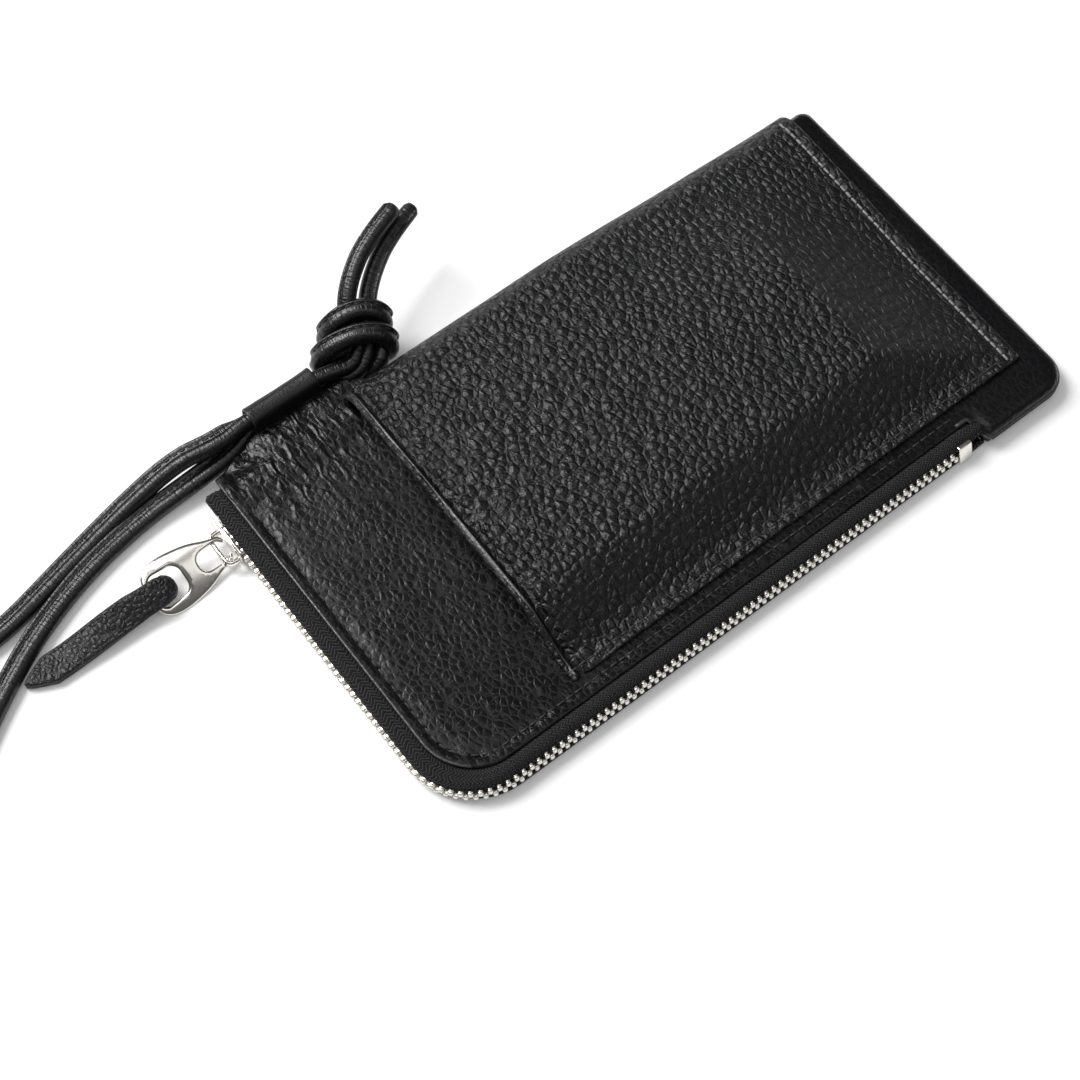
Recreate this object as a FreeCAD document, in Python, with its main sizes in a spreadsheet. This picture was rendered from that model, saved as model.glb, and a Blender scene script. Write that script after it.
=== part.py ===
"""Flat leather phone pouch with an L-shaped zip, a front slip pocket and a knotted cord strap.

Frame: millimetres, +X from the zip's mouth end to the bottom end, +Y from the zip's long side to the
fold, +Z up. The back panel lies flat on z = 0 and the origin is under the middle of the outline.
"""
import FreeCAD, Part
import math
import os
import Sketcher
from FreeCAD import Placement, Rotation, Vector

# Driving dimensions: name, value in millimetres (angles in degrees, counts plain), meaning
SIZES = [
    ("outline_length", 181.0, "zip teeth at the mouth end to the bottom end"),
    ("outline_width", 99.0, "zip teeth on the long side to the outside of the fold"),
    ("leather", 1.2, "leather thickness"),
    ("compartment", 4.4, "clear height of the zipped compartment"),
    ("bottom_corner", 7.0, "corner radius beside the zip's end"),
    ("edge_round", 2.2, "rounding of the sewn edges"),
    ("step_place", 63.0, "where the leather closes round the zip's end, from the middle"),
    ("step_run", 6.0, "length of that closing step"),
    ("zip_reach", 6.0, "how far the zip stands out past the leather"),
    ("zip_corner", 20.0, "radius of the zip's centre line at the corner"),
    ("tape", 0.5, "zip tape thickness"),
    ("tape_width", 12.0, "zip tape width from the chain inwards"),
    ("tape_end_gap", 1.1, "gap from the tape's end to the closing step"),
    ("tape_rise", 1.1, "how far the tape bows out beside the chain"),
    ("tooth_pitch", 2.1, "distance between teeth"),
    ("tooth_long", 1.25, "tooth size along the zip"),
    ("tooth_deep", 1.9, "tooth size through the chain"),
    ("tooth_high", 1.2, "tooth size across the chain"),
    ("chain_lane", 0.9, "lane between the two rows for the slider's post"),
    ("stop_long", 2.0, "length of a top stop"),
    ("end_stop_long", 4.5, "length of the bottom stop"),
    ("stop_wall", 0.5, "metal of a stop round the tape"),
    ("running_gap", 0.3, "clearance between the slider and the zip"),
    ("slider_long", 10.0, "slider length along the zip"),
    ("slider_plate", 0.9, "thickness of the slider's plates"),
    ("slider_flange", 0.5, "thickness of the slider's side flanges"),
    ("post_wide", 0.4, "width of the post between the slider's plates"),
    ("post_long", 2.6, "length of that post"),
    ("bridge_wire", 1.3, "diameter of the slider's bridge"),
    ("bridge_window", 3.0, "slider face to the middle of the bridge"),
    ("bridge_span", 8.8, "distance between the bridge's legs"),
    ("puller_long", 21.8, "puller length"),
    ("puller_head", 7.4, "puller width at its head"),
    ("puller_neck", 4.3, "head's end to where the puller starts to flare"),
    ("puller_shoulder", 9.3, "head's end to the puller's shoulder"),
    ("puller_belly", 14.0, "head's end to where the puller is widest"),
    ("puller_wide", 13.5, "puller width at its wide end"),
    ("puller_thick", 1.0, "puller thickness"),
    ("puller_nose", 2.5, "bridge middle to the head's end"),
    ("head_rim", 1.05, "metal round the head's hole"),
    ("head_hole_long", 6.5, "length of the head's hole"),
    ("pull_hole_long", 8.0, "length of the hole for the leather"),
    ("pull_hole_wide", 8.6, "width of the hole for the leather"),
    ("end_bar", 1.5, "bar at the wide end that the leather goes round"),
    ("puller_roll", 25.0, "roll of the puller on the bridge, degrees"),
    ("pull_width", 7.4, "width of the leather pull"),
    ("pull_thick", 2.2, "two layers of the leather pull"),
    ("pull_layer", 0.75, "leather of the loop round the end bar"),
    ("pull_long", 34.0, "end bar to the leather pull's tip"),
    ("pull_point", 5.0, "length of its pointed tip"),
    ("pull_bore", 1.2, "inside radius of the leather loop"),
    ("pocket_mouth", 50.0, "pocket mouth, from the middle towards the zip's mouth end"),
    ("pocket_end_margin", 9.0, "pocket's bottom seam to the bottom end"),
    ("pocket_side_margin", 3.5, "pocket's zip-side edge to the leather's edge along the zip"),
    ("pocket_room", 8.0, "clear height inside the slip pocket"),
    ("pocket_flange", 3.0, "sewn margin round the pocket"),
    ("pocket_side_slope", 7.0, "run of the slope on the zip side"),
    ("pocket_end_slope", 4.0, "run of the slope at the bottom end"),
    ("pocket_round", 4.0, "rounding of the pocket's upper edges"),
    ("hem_width", 10.0, "turned hem inside the pocket's mouth"),
    ("hem", 0.5, "thickness of that hem"),
    ("stitch_pitch", 4.0, "distance between stitches"),
    ("stitch_long", 2.8, "length of one stitch"),
    ("thread", 0.5, "thread width and height"),
    ("seam_inset", 2.4, "seam to the leather's edge along the zip"),
    ("sleeve_place", 53.0, "sleeve's knot end, from the middle towards the zip's mouth end"),
    ("sleeve_long", 18.0, "sleeve length"),
    ("sleeve_stand", 9.8, "fold to the middle of the sleeve"),
    ("sleeve_height", 6.8, "middle of the sleeve above the table"),
    ("sleeve_wall", 0.5, "sleeve leather thickness"),
    ("cord", 4.0, "strap cord diameter"),
    ("cord_gap", 0.1, "slack round a strand in the sleeve"),
    ("tab_thick", 1.8, "two layers of the tab between fold and sleeve"),
    ("tab_margin", 2.0, "tab's outer end to the sleeve's mouth"),
    ("knot_stand", 13.8, "sleeve's knot end to the knot's middle"),
    ("knot_long", 17.2, "knot length"),
    ("knot_thick", 16.0, "knot thickness"),
    ("coil_pitch", 4.5, "distance between the coil's turns and layers"),
    ("coil_outer", 28.75, "radius of the coil's outermost half turn"),
    ("coil_half_turns", 7, "half turns in each of the coil's two layers"),
    ("coil_lift", 0.5, "coil above the table, where the tie passes under it"),
    ("tie_wide", 6.0, "width of the coil's tie"),
    ("tie_wall", 0.45, "thickness of the coil's tie"),
]

# The strap's free route, from the sleeve's mouth to the coil: x and y from that mouth, z above the table
UPPER_ROUTE = [
    (-19.5, 3.5, 7.2), (-35.5, 2.3, 3.2), (-54.5, -2.5, 2.0), (-73.7, -7.5, 2.0), (-91.5, -7.9, 2.0),
    (-108.5, -6.3, 2.1), (-125.0, -3.35, 2.5), (-136.0, -3.35, 2.5),
]
LOWER_ROUTE = [
    (-19.0, -1.1, 3.3), (-33.0, -2.3, 2.0), (-50.9, -6.3, 2.0), (-67.3, -12.4, 2.0), (-79.0, -18.8, 2.0),
    (-90.0, -25.9, 2.0), (-99.0, -32.7, 2.0), (-104.3, -40.5, 2.0), (-107.6, -48.9, 2.6), (-112.8, -56.9, 4.2),
    (-120.0, -62.7, 6.0), (-128.0, -65.35, 7.0), (-136.0, -65.35, 7.0),
]
# The two cut tails, from inside the knot to their tips, measured like the route
TAIL_LEFT = [
    (31.4, 4.8, 11.2), (32.7, 8.3, 14.2), (37.5, 13.0, 18.2), (45.7, 17.7, 21.2), (56.1, 20.7, 22.2),
]
TAIL_RIGHT = [
    (35.6, 3.5, 8.9), (37.2, 7.4, 11.9), (42.7, 12.5, 15.3), (51.5, 17.6, 17.3), (61.1, 20.6, 17.7),
]
# Share of the shorter run that a bend takes, and the straight lead out of the sleeve in cord diameters
ROUTE_SHARE = 0.45
ROUTE_LEAD = 2.2

doc = FreeCAD.newDocument("PhonePouch")
sheet = doc.addObject("Spreadsheet::Sheet", "Sizes")
for row, (alias, amount, meaning) in enumerate(SIZES, 1):
    sheet.set(f"A{row}", alias)
    sheet.set(f"B{row}", str(amount))
    sheet.set(f"C{row}", meaning)
    sheet.setAlias(f"B{row}", alias)
doc.recompute()


class Size:
    """A sheet size, or a sum of them, as both an expression and its value."""

    def __init__(self, text, value):
        self.text = text
        self.value = value

    def __add__(self, other):
        other = as_size(other)
        return Size(f"({self.text} + {other.text})", self.value + other.value)

    def __sub__(self, other):
        other = as_size(other)
        return Size(f"({self.text} - {other.text})", self.value - other.value)

    def __mul__(self, factor):
        return Size(f"({self.text} * {factor})", self.value * factor)

    def __truediv__(self, factor):
        return Size(f"({self.text} / {factor})", self.value / factor)

    def __neg__(self):
        return Size(f"(0 - {self.text})", -self.value)


def as_size(amount):
    return amount if isinstance(amount, Size) else Size(str(amount), float(amount))


def size(alias):
    return Size(f"Sizes.{alias}", float(sheet.get(alias)))


NODES = {}


def node(obj, label):
    """Keep this object as a sub-part with its own label."""
    obj.Label = label
    NODES[label] = obj
    return obj


def place(obj, x, y, z):
    for axis, amount in zip("xyz", (x, y, z)):
        obj.setExpression(f"Placement.Base.{axis}", as_size(amount).text)


def box(name, low, span):
    obj = doc.addObject("Part::Box", name)
    for prop, amount in zip(("Length", "Width", "Height"), span):
        obj.setExpression(prop, as_size(amount).text)
    place(obj, *low)
    return obj


TURNS = {"X": Rotation(Vector(0, 1, 0), 90), "Y": Rotation(Vector(1, 0, 0), -90), "Z": Rotation()}


def rod(name, radius, length, start, axis):
    obj = doc.addObject("Part::Cylinder", name)
    obj.setExpression("Radius", radius.text)
    obj.setExpression("Height", length.text)
    obj.Placement = Placement(Vector(), TURNS[axis])
    place(obj, *start)
    return obj


def cut(name, base, tool):
    obj = doc.addObject("Part::Cut", name)
    obj.Base = base
    obj.Tool = tool
    return obj


def fuse(name, shapes):
    obj = doc.addObject("Part::MultiFuse", name)
    obj.Shapes = shapes
    return obj


def feature(name, shape):
    obj = doc.addObject("Part::Feature", name)
    obj.Shape = shape
    obj.Placement = Placement()
    return obj


def picked(shape, wanted):
    """Numbers of the edges whose two ends and middle all pass the test."""
    found = []
    for number, edge in enumerate(shape.Edges, 1):
        middle = edge.valueAt((edge.FirstParameter + edge.LastParameter) / 2)
        ends = [vertex.Point for vertex in edge.Vertexes]
        if all(wanted(point) for point in ends + [middle]):
            found.append(number)
    return found


def near(a, b):
    return abs(a - b) < 1e-4


def round_edges(name, base, wanted, radius):
    doc.recompute()
    obj = doc.addObject("Part::Fillet", name)
    obj.Base = base
    obj.Edges = [(number, radius.value, radius.value) for number in picked(base.Shape, wanted)]
    return obj


def attach(body, sketch, role, offset):
    plane = next(item for item in body.Origin.OriginFeatures if item.Role == role)
    sketch.AttachmentSupport = [(plane, "")]
    sketch.MapMode = "FlatFace"
    sketch.setExpression("AttachmentOffset.Base.z", as_size(offset).text)


def fix_point(sketch, line, end, corner):
    """Tie one end of a line to a place given by sheet sizes."""
    for kind, amount in zip(("DistanceX", "DistanceY"), corner):
        number = sketch.addConstraint(Sketcher.Constraint(kind, -1, 1, line, end, amount.value))
        sketch.setExpression(f"Constraints[{number}]", amount.text)


def polygon(body, name, role, offset, corners):
    """A closed sketch of straight sides, each corner tied to sheet sizes."""
    sketch = body.newObject("Sketcher::SketchObject", name)
    attach(body, sketch, role, offset)
    corners = [(as_size(a), as_size(b)) for a, b in corners]
    points = [Vector(a.value, b.value, 0) for a, b in corners]
    count = len(points)
    for i in range(count):
        sketch.addGeometry(Part.LineSegment(points[i], points[(i + 1) % count]))
    for i in range(count):
        sketch.addConstraint(Sketcher.Constraint("Coincident", i, 2, (i + 1) % count, 1))
        fix_point(sketch, i, 1, corners[i])
    return sketch


def pad(body, name, sketch, length):
    obj = body.newObject("PartDesign::Pad", name)
    obj.Profile = sketch
    obj.setExpression("Length", length.text)
    return obj


def pocket_up(body, name, sketch, depth):
    """Cut upwards from the sketch, and make sure that it removes material."""
    doc.recompute()
    before = body.Shape.Volume
    obj = body.newObject("PartDesign::Pocket", name)
    obj.Profile = sketch
    obj.Reversed = True
    obj.setExpression("Length", depth.text)
    doc.recompute()
    if body.Shape.Volume > before - 1.0:
        raise RuntimeError(f"{name} cut nothing")
    return obj


def body_fillet(body, name, wanted, radius):
    doc.recompute()
    base = body.Tip
    edges = [f"Edge{number}" for number in picked(base.Shape, wanted)]
    obj = body.newObject("PartDesign::Fillet", name)
    obj.Base = (base, edges)
    obj.setExpression("Radius", radius.text)
    doc.recompute()
    return obj


def upright(x, y):
    """Test for an upright edge at a corner of an outline."""
    return lambda point: near(point.x, x.value) and near(point.y, y.value)


# Places that several pieces share
leather = size("leather")
cord = size("cord")
gap = size("running_gap")
mouth_end = -size("outline_length") / 2
bottom_x = size("outline_length") / 2
long_side = -size("outline_width") / 2
opening_x = mouth_end + size("zip_reach")
zip_side_y = long_side + size("zip_reach")
base_top = leather * 2 + size("compartment")
fold_radius = base_top / 2
fold_y = size("outline_width") / 2 - leather
fold_axis_y = fold_y - fold_radius
chain_x = mouth_end + size("tooth_deep") / 2
chain_y = long_side + size("tooth_deep") / 2
chain_z = fold_radius
corner = size("zip_corner")
leather_corner = corner - (size("zip_reach") - size("tooth_deep") / 2)
step_x = size("step_place")
step_out_x = step_x + size("step_run")
slack = 1.0

# Zip heights, measured from the middle of the chain
row_inner = size("chain_lane") / 2
row_outer = row_inner + size("tooth_high")
flange_inner = row_outer + gap
slider_half = flange_inner + size("slider_flange")
tape_inner = slider_half + gap
tape_outer = tape_inner + size("tape")

# Zip places along its run
tape_top_y = fold_axis_y - 0.4
tape_end_x = step_x - size("tape_end_gap")
stop_low_y = tape_top_y - size("stop_long") - gap
slider_y = stop_low_y - gap - size("slider_long") / 2

# Slider, bridge and puller places across the chain
plate_near = size("tooth_deep") / 2 + gap
plate_far = plate_near + size("slider_plate")
bridge_x = chain_x - plate_far - size("bridge_window")
bar_x = bridge_x + size("puller_nose") - size("puller_long") + size("end_bar") / 2

# Pocket places
mouth_x = -size("pocket_mouth")
pocket_end_x = bottom_x - size("pocket_end_margin")
pocket_side_y = zip_side_y + size("pocket_side_margin")
pocket_wall_y = pocket_side_y + size("pocket_flange")
pocket_wall_x = pocket_end_x - size("pocket_flange")
pocket_inside_z = base_top + size("pocket_room")
pocket_top = pocket_inside_z + leather
inner_round = size("pocket_round") - leather

# Sleeve places
sleeve_knot_x = -size("sleeve_place")
sleeve_mouth_x = sleeve_knot_x - size("sleeve_long")
sleeve_y = fold_y + size("sleeve_stand")
sleeve_z = size("sleeve_height")
strand_offset = (cord + size("cord_gap")) / 2


def panel_outline(body, name, offset):
    corners = [
        (opening_x, fold_axis_y), (opening_x, zip_side_y), (step_x, zip_side_y),
        (step_out_x, long_side), (bottom_x, long_side), (bottom_x, fold_axis_y),
    ]
    return polygon(body, name, "XY_Plane", offset, corners)


def panel_hollow(body, name, offset):
    """Inside of a panel: open to the zip and the fold, walled along the sewn edges."""
    inner_corner = size("bottom_corner") - leather
    corners = [
        (opening_x - slack, fold_axis_y + slack), (opening_x - slack, zip_side_y - slack),
        (step_x - leather, zip_side_y - slack), (step_out_x, long_side + leather),
        (bottom_x - leather - inner_corner, long_side + leather),
        (bottom_x - leather, long_side + leather + inner_corner), (bottom_x - leather, fold_axis_y + slack),
    ]
    return polygon(body, name, "XY_Plane", offset, corners)


def panel(label, low, hollow_low, hollow_deep, face_z):
    """One leather panel: flat, with a low wall along the sewn edges that rounds over at its face."""
    body = doc.addObject("PartDesign::Body", label)
    pad(body, f"{label}_pad", panel_outline(body, f"{label}_outline", low), fold_radius)
    body_fillet(body, f"{label}_zip_corner", upright(opening_x, zip_side_y), leather_corner)
    body_fillet(body, f"{label}_bottom_corner", upright(bottom_x, long_side), size("bottom_corner"))

    def sewn_edge(point):
        along_seam = near(point.y, long_side.value) or near(point.x, bottom_x.value)
        reach = size("bottom_corner").value
        in_corner = point.x > bottom_x.value - reach and point.y < long_side.value + reach
        return near(point.z, face_z.value) and (along_seam or in_corner)

    body_fillet(body, f"{label}_sewn_edge", sewn_edge, size("edge_round"))
    pocket_up(body, f"{label}_cut", panel_hollow(body, f"{label}_hollow", hollow_low), hollow_deep)
    return node(body, label)


def make_panels():
    panel("back_panel", as_size(0), leather, fold_radius - leather + slack, as_size(0))
    panel("front_panel", fold_radius, fold_radius, fold_radius - leather, base_top)


def make_fold_edge():
    """Half-round leather that turns from the back panel to the front panel."""
    length = bottom_x - opening_x
    outer = rod("fold_outer", fold_radius, length, (opening_x, fold_axis_y, fold_radius), "X")
    inner = rod("fold_inner", fold_radius - leather, length - leather + slack,
                (opening_x - slack, fold_axis_y, fold_radius), "X")
    tube = cut("fold_tube", outer, inner)
    panel_side = box("fold_panel_side", (opening_x - slack, fold_axis_y - fold_radius - slack, -slack),
                     (length + slack * 2, fold_radius + slack, base_top + slack * 2))
    half = cut("fold_half", tube, panel_side)

    def end_rim(point):
        away = math.hypot(point.y - fold_axis_y.value, point.z - fold_radius.value)
        return near(point.x, bottom_x.value) and near(away, fold_radius.value)

    node(round_edges("fold_edge", half, end_rim, size("edge_round")), "fold_edge")


def wedge(name, low_x, high_x, top_high_x, low_y, top_low_y, high_y, low_z, high_z):
    """A block whose zip side and bottom end lean in towards its top."""
    obj = doc.addObject("Part::Wedge", name)
    amounts = {
        "Xmin": low_x, "Xmax": high_x, "X2min": low_x, "X2max": top_high_x,
        "Zmin": -high_y, "Zmax": -low_y, "Z2min": -high_y, "Z2max": -top_low_y,
        "Ymin": low_z, "Ymax": high_z,
    }
    for prop, amount in amounts.items():
        obj.setExpression(prop, amount.text)
    obj.Placement = Placement(Vector(), Rotation(Vector(1, 0, 0), 90))
    return obj


def make_pocket():
    """Slip pocket: sewn margin, raised top and the part that wraps over the fold."""
    outside_y = size("outline_width") / 2
    side_slope = size("pocket_side_slope")
    end_slope = size("pocket_end_slope")
    outer = wedge("pocket_outer", mouth_x, pocket_wall_x, pocket_wall_x - end_slope,
                  pocket_wall_y, pocket_wall_y + side_slope, outside_y, base_top, pocket_top)
    inner_x = pocket_wall_x - leather
    inner_y = pocket_wall_y + leather
    inner = wedge("pocket_inner", mouth_x - slack, inner_x, inner_x - end_slope,
                  inner_y, inner_y + side_slope, fold_y, base_top, pocket_inside_z)

    def upper_rim(top, front_x):
        return lambda point: near(point.z, top.value) and not near(point.x, front_x.value)

    def any_upper(top, front_x):
        rim = upper_rim(top, front_x)
        return lambda point: near(point.z, top.value) and (rim(point) or point.x > front_x.value - 1e-4)

    def not_mouth(top, front_x, base):
        """Every upper edge but the one across the mouth."""
        doc.recompute()
        numbers = []
        for number in picked(base.Shape, any_upper(top, front_x)):
            ends = [vertex.Point.x for vertex in base.Shape.Edges[number - 1].Vertexes]
            if not all(near(x, front_x.value) for x in ends):
                numbers.append(number)
        return numbers

    def soften(name, base, top, front_x, radius):
        obj = doc.addObject("Part::Fillet", name)
        obj.Base = base
        obj.Edges = [(number, radius.value, radius.value) for number in not_mouth(top, front_x, base)]
        return obj

    outer_soft = soften("pocket_outer_soft", outer, pocket_top, mouth_x, size("pocket_round"))
    inner_soft = soften("pocket_inner_soft", inner, pocket_inside_z, mouth_x - slack, inner_round)
    margin = box("pocket_margin", (mouth_x, pocket_side_y, base_top),
                 (pocket_end_x - mouth_x, fold_axis_y - pocket_side_y, leather))
    wrap = box("pocket_wrap", (mouth_x, fold_y, fold_radius - leather),
               (pocket_end_x - mouth_x, leather, base_top - fold_radius + leather * 2))
    whole = fuse("pocket_whole", [margin, outer_soft, wrap])
    node(cut("pocket_panel", whole, inner_soft), "pocket_panel")

    flat_low_y = inner_y + side_slope + inner_round
    flat_high_y = fold_y - inner_round
    node(box("mouth_hem", (mouth_x, flat_low_y, pocket_inside_z - size("hem")),
             (size("hem_width"), flat_high_y - flat_low_y, size("hem"))), "mouth_hem")


def chain_path(body, name):
    """Centre line of the chain: down the mouth end, round the corner, along the long side."""
    sketch = body.newObject("Sketcher::SketchObject", name)
    attach(body, sketch, "XY_Plane", 0)
    start = (chain_x, tape_top_y)
    bend_in = (chain_x, chain_y + corner)
    bend_out = (chain_x + corner, chain_y)
    finish = (tape_end_x, chain_y)
    spots = [Vector(a.value, b.value, 0) for a, b in (start, bend_in, bend_out, finish)]
    centre = Vector(bend_out[0].value, bend_in[1].value, 0)
    circle = Part.Circle(centre, Vector(0, 0, 1), corner.value)
    sketch.addGeometry(Part.LineSegment(spots[0], spots[1]))
    sketch.addGeometry(Part.ArcOfCircle(circle, math.pi, 1.5 * math.pi))
    sketch.addGeometry(Part.LineSegment(spots[2], spots[3]))
    sketch.addConstraint(Sketcher.Constraint("Coincident", 0, 2, 1, 1))
    sketch.addConstraint(Sketcher.Constraint("Coincident", 1, 2, 2, 1))
    fix_point(sketch, 0, 1, start)
    fix_point(sketch, 0, 2, bend_in)
    fix_point(sketch, 2, 1, bend_out)
    fix_point(sketch, 2, 2, finish)
    number = sketch.addConstraint(Sketcher.Constraint("Radius", 1, corner.value))
    sketch.setExpression(f"Constraints[{number}]", corner.text)
    return sketch


def zip_tape(label, side):
    """One tape half: a lip that carries the teeth, a bowed strip, and the part sewn under the leather."""
    half = size("tape") / 2
    rise_x = chain_x + plate_far + gap
    sewn_x = chain_x + size("zip_reach") - size("tooth_deep") / 2
    lip = chain_z + row_outer * side
    near_z = chain_z + tape_inner * side
    far_z = chain_z + tape_outer * side
    sewn_far = chain_z + (fold_radius - leather) * side
    sewn_near = sewn_far - size("tape") * side
    inside_x = chain_x + size("tape_width")
    corners = [
        (chain_x - half, lip), (chain_x + half, lip), (chain_x + half, near_z), (rise_x, near_z),
        (sewn_x, sewn_near), (inside_x, sewn_near), (inside_x, sewn_far), (sewn_x, sewn_far),
        (rise_x, far_z), (chain_x - half, far_z),
    ]
    body = doc.addObject("PartDesign::Body", label)
    profile = polygon(body, f"{label}_section", "XZ_Plane", -tape_top_y, corners)
    path = chain_path(body, f"{label}_path")
    sweep = body.newObject("PartDesign::AdditivePipe", f"{label}_sweep")
    sweep.Profile = profile
    sweep.Spine = path
    return node(body, label)


def chain_spot(distance):
    """Place and heading of the chain, measured along it from the tape's top."""
    straight = tape_top_y.value - (chain_y.value + corner.value)
    bend = corner.value * math.pi / 2
    centre = Vector(chain_x.value + corner.value, chain_y.value + corner.value, 0)
    if distance < straight:
        return Vector(chain_x.value, tape_top_y.value - distance, 0), -90.0
    if distance < straight + bend:
        turn = (distance - straight) / corner.value
        spot = centre + Vector(-math.cos(turn), -math.sin(turn), 0) * corner.value
        return spot, -90.0 + math.degrees(turn)
    return Vector(centre.x + distance - straight - bend, chain_y.value, 0), 0.0


def chain_length():
    straight = tape_top_y.value - (chain_y.value + corner.value)
    along = tape_end_x.value - (chain_x.value + corner.value)
    return straight + corner.value * math.pi / 2 + along


def zip_teeth(label, side, first):
    """One row of teeth, each a solid of its own, seated on the tape's lip."""
    long, deep, high = (size(name).value for name in ("tooth_long", "tooth_deep", "tooth_high"))
    low = row_inner.value if side > 0 else -row_outer.value
    tooth = Part.makeBox(long, deep, high, Vector(-long / 2, -deep / 2, low))
    solids = []
    reach = first
    last = chain_length() - size("end_stop_long").value - long
    while reach < last:
        spot, heading = chain_spot(reach)
        solid = tooth.copy()
        turn = Rotation(Vector(0, 0, 1), heading)
        solid.Placement = Placement(spot + Vector(0, 0, chain_z.value), turn)
        solids.append(solid)
        reach += size("tooth_pitch").value
    node(feature(label, Part.makeCompound(solids)), label)
    print(label, len(solids), "teeth")


def make_zip():
    zip_tape("zip_tape_front", 1)
    zip_tape("zip_tape_back", -1)
    first = tape_top_y.value - stop_low_y.value + gap.value + size("post_long").value + gap.value
    first += size("tooth_long").value
    zip_teeth("zip_teeth_front", 1, first)
    zip_teeth("zip_teeth_back", -1, first + size("tooth_pitch").value / 2)
    make_stops()


def clip(name, low, span, slots):
    """A stop: a metal block with a slot for each tape lip that it is clamped on."""
    block = box(f"{name}_block", low, span)
    return cut(name, block, fuse(f"{name}_slots", slots) if len(slots) > 1 else slots[0])


def make_stops():
    half = size("tape") / 2
    wall = size("stop_wall")
    high = tape_inner - gap
    lip_high = high - row_outer + slack
    tops = []
    for word, side in (("front", 1), ("back", -1)):
        low_z = chain_z + row_inner if side > 0 else chain_z - high
        slot_z = chain_z + row_outer if side > 0 else chain_z - high - slack
        slot = box(f"top_slot_{word}", (chain_x - half, stop_low_y - slack, slot_z),
                   (size("tape"), size("stop_long") + slack * 2, lip_high))
        tops.append(clip(f"top_stop_{word}", (chain_x - half - wall, stop_low_y, low_z),
                         (size("tape") + wall * 2, size("stop_long"), high - row_inner), [slot]))
    group = doc.addObject("Part::Compound", "top_stops")
    group.Links = tops
    node(group, "top_stops")

    start_x = tape_end_x - size("end_stop_long")
    slots = []
    for word, low_z in (("front", chain_z + row_outer), ("back", chain_z - high - slack)):
        slots.append(box(f"end_slot_{word}", (start_x - slack, chain_y - half, low_z),
                         (size("end_stop_long") + slack * 2, size("tape"), lip_high)))
    deep = size("tooth_deep")
    node(clip("bottom_stop", (start_x, chain_y - deep / 2, chain_z - high),
              (size("end_stop_long"), deep, high * 2), slots), "bottom_stop")


def make_slider():
    """Two plates joined by a post, with flanges that hold the rows in, and the bridge on its outer face."""
    long = size("slider_long")
    low_y = slider_y - long / 2
    plate = size("slider_plate")
    flange = size("slider_flange")
    flange_deep = plate_near - size("tape") / 2 - gap
    pieces = []
    for word, plate_x, flange_x in (
            ("outer", chain_x - plate_far, chain_x - plate_near),
            ("inner", chain_x + plate_near, chain_x + plate_near - flange_deep)):
        pieces.append(box(f"slider_{word}_plate", (plate_x, low_y, chain_z - slider_half),
                          (plate, long, slider_half * 2)))
        for side, low_z in (("top", chain_z + flange_inner), ("bottom", chain_z - slider_half)):
            pieces.append(box(f"slider_{word}_{side}_flange", (flange_x, low_y, low_z),
                              (flange_deep, long, flange)))
    post = size("post_wide")
    pieces.append(box("slider_post", (chain_x - plate_near, slider_y + long / 2 - size("post_long"),
                                      chain_z - post / 2),
                      (plate_near * 2, size("post_long"), post)))
    node(fuse("slider_body", pieces), "slider_body")

    wire = size("bridge_wire") / 2
    half_span = size("bridge_span") / 2
    parts = [rod("bridge_bar", wire, half_span * 2, (bridge_x, slider_y - half_span, chain_z), "Y")]
    for word, leg_y in (("low", slider_y - half_span), ("high", slider_y + half_span)):
        parts.append(rod(f"bridge_{word}_leg", wire, size("bridge_window"), (bridge_x, leg_y, chain_z), "X"))
        elbow = doc.addObject("Part::Sphere", f"bridge_{word}_elbow")
        elbow.setExpression("Radius", wire.text)
        place(elbow, bridge_x, leg_y, chain_z)
        parts.append(elbow)
    node(fuse("slider_bridge", parts), "slider_bridge")


def make_puller():
    """Flared plate with a hole for the bridge and a hole for the leather, rolled on the bridge."""
    thick = size("puller_thick")
    nose = size("puller_nose")
    tail = nose - size("puller_long")
    head_half = size("puller_head") / 2
    wide_half = size("puller_wide") / 2
    body = doc.addObject("PartDesign::Body", "puller_plate")
    side = [(nose, head_half - 0.2), (nose - size("puller_neck"), head_half),
            (nose - size("puller_shoulder"), wide_half * 0.88), (nose - size("puller_belly"), wide_half),
            (tail, wide_half)]
    outline = side + [(x, -half) for x, half in reversed(side)]
    pad(body, "puller_pad", polygon(body, "puller_outline", "XY_Plane", -(thick / 2), outline), thick)

    def outline_corner(x, half_wide):
        return lambda point: near(point.x, x.value) and near(abs(point.y), half_wide.value)

    body_fillet(body, "puller_head_round", outline_corner(nose, head_half - 0.2), head_half - 0.6)
    body_fillet(body, "puller_end_round", outline_corner(tail, wide_half), wide_half * 0.66)

    def hole(name, high_x, long, half_wide, radius):
        low_x = high_x - long
        corners = [(high_x, -half_wide), (high_x, half_wide), (low_x, half_wide), (low_x, -half_wide)]
        sketch = polygon(body, f"{name}_outline", "XY_Plane", -(thick / 2), corners)
        pocket_up(body, name, sketch, thick)

        def hole_corner(point):
            return near(abs(point.y), half_wide.value) and min(
                abs(point.x - high_x.value), abs(point.x - low_x.value)) < 1e-4

        body_fillet(body, f"{name}_round", hole_corner, radius)

    rim = size("head_rim")
    head_hole_half = head_half - rim
    hole("head_hole", nose - rim, size("head_hole_long"), head_hole_half, head_hole_half * 0.6)
    hole("pull_hole", tail + size("end_bar") + size("pull_hole_long"), size("pull_hole_long"),
         size("pull_hole_wide") / 2, size("pull_hole_wide") * 0.08)
    body.Placement = Placement(Vector(), Rotation(Vector(1, 0, 0), size("puller_roll").value))
    body.setExpression("Placement.Rotation.Angle", size("puller_roll").text)
    place(body, bridge_x, slider_y, chain_z)
    node(body, "puller_plate")


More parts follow.
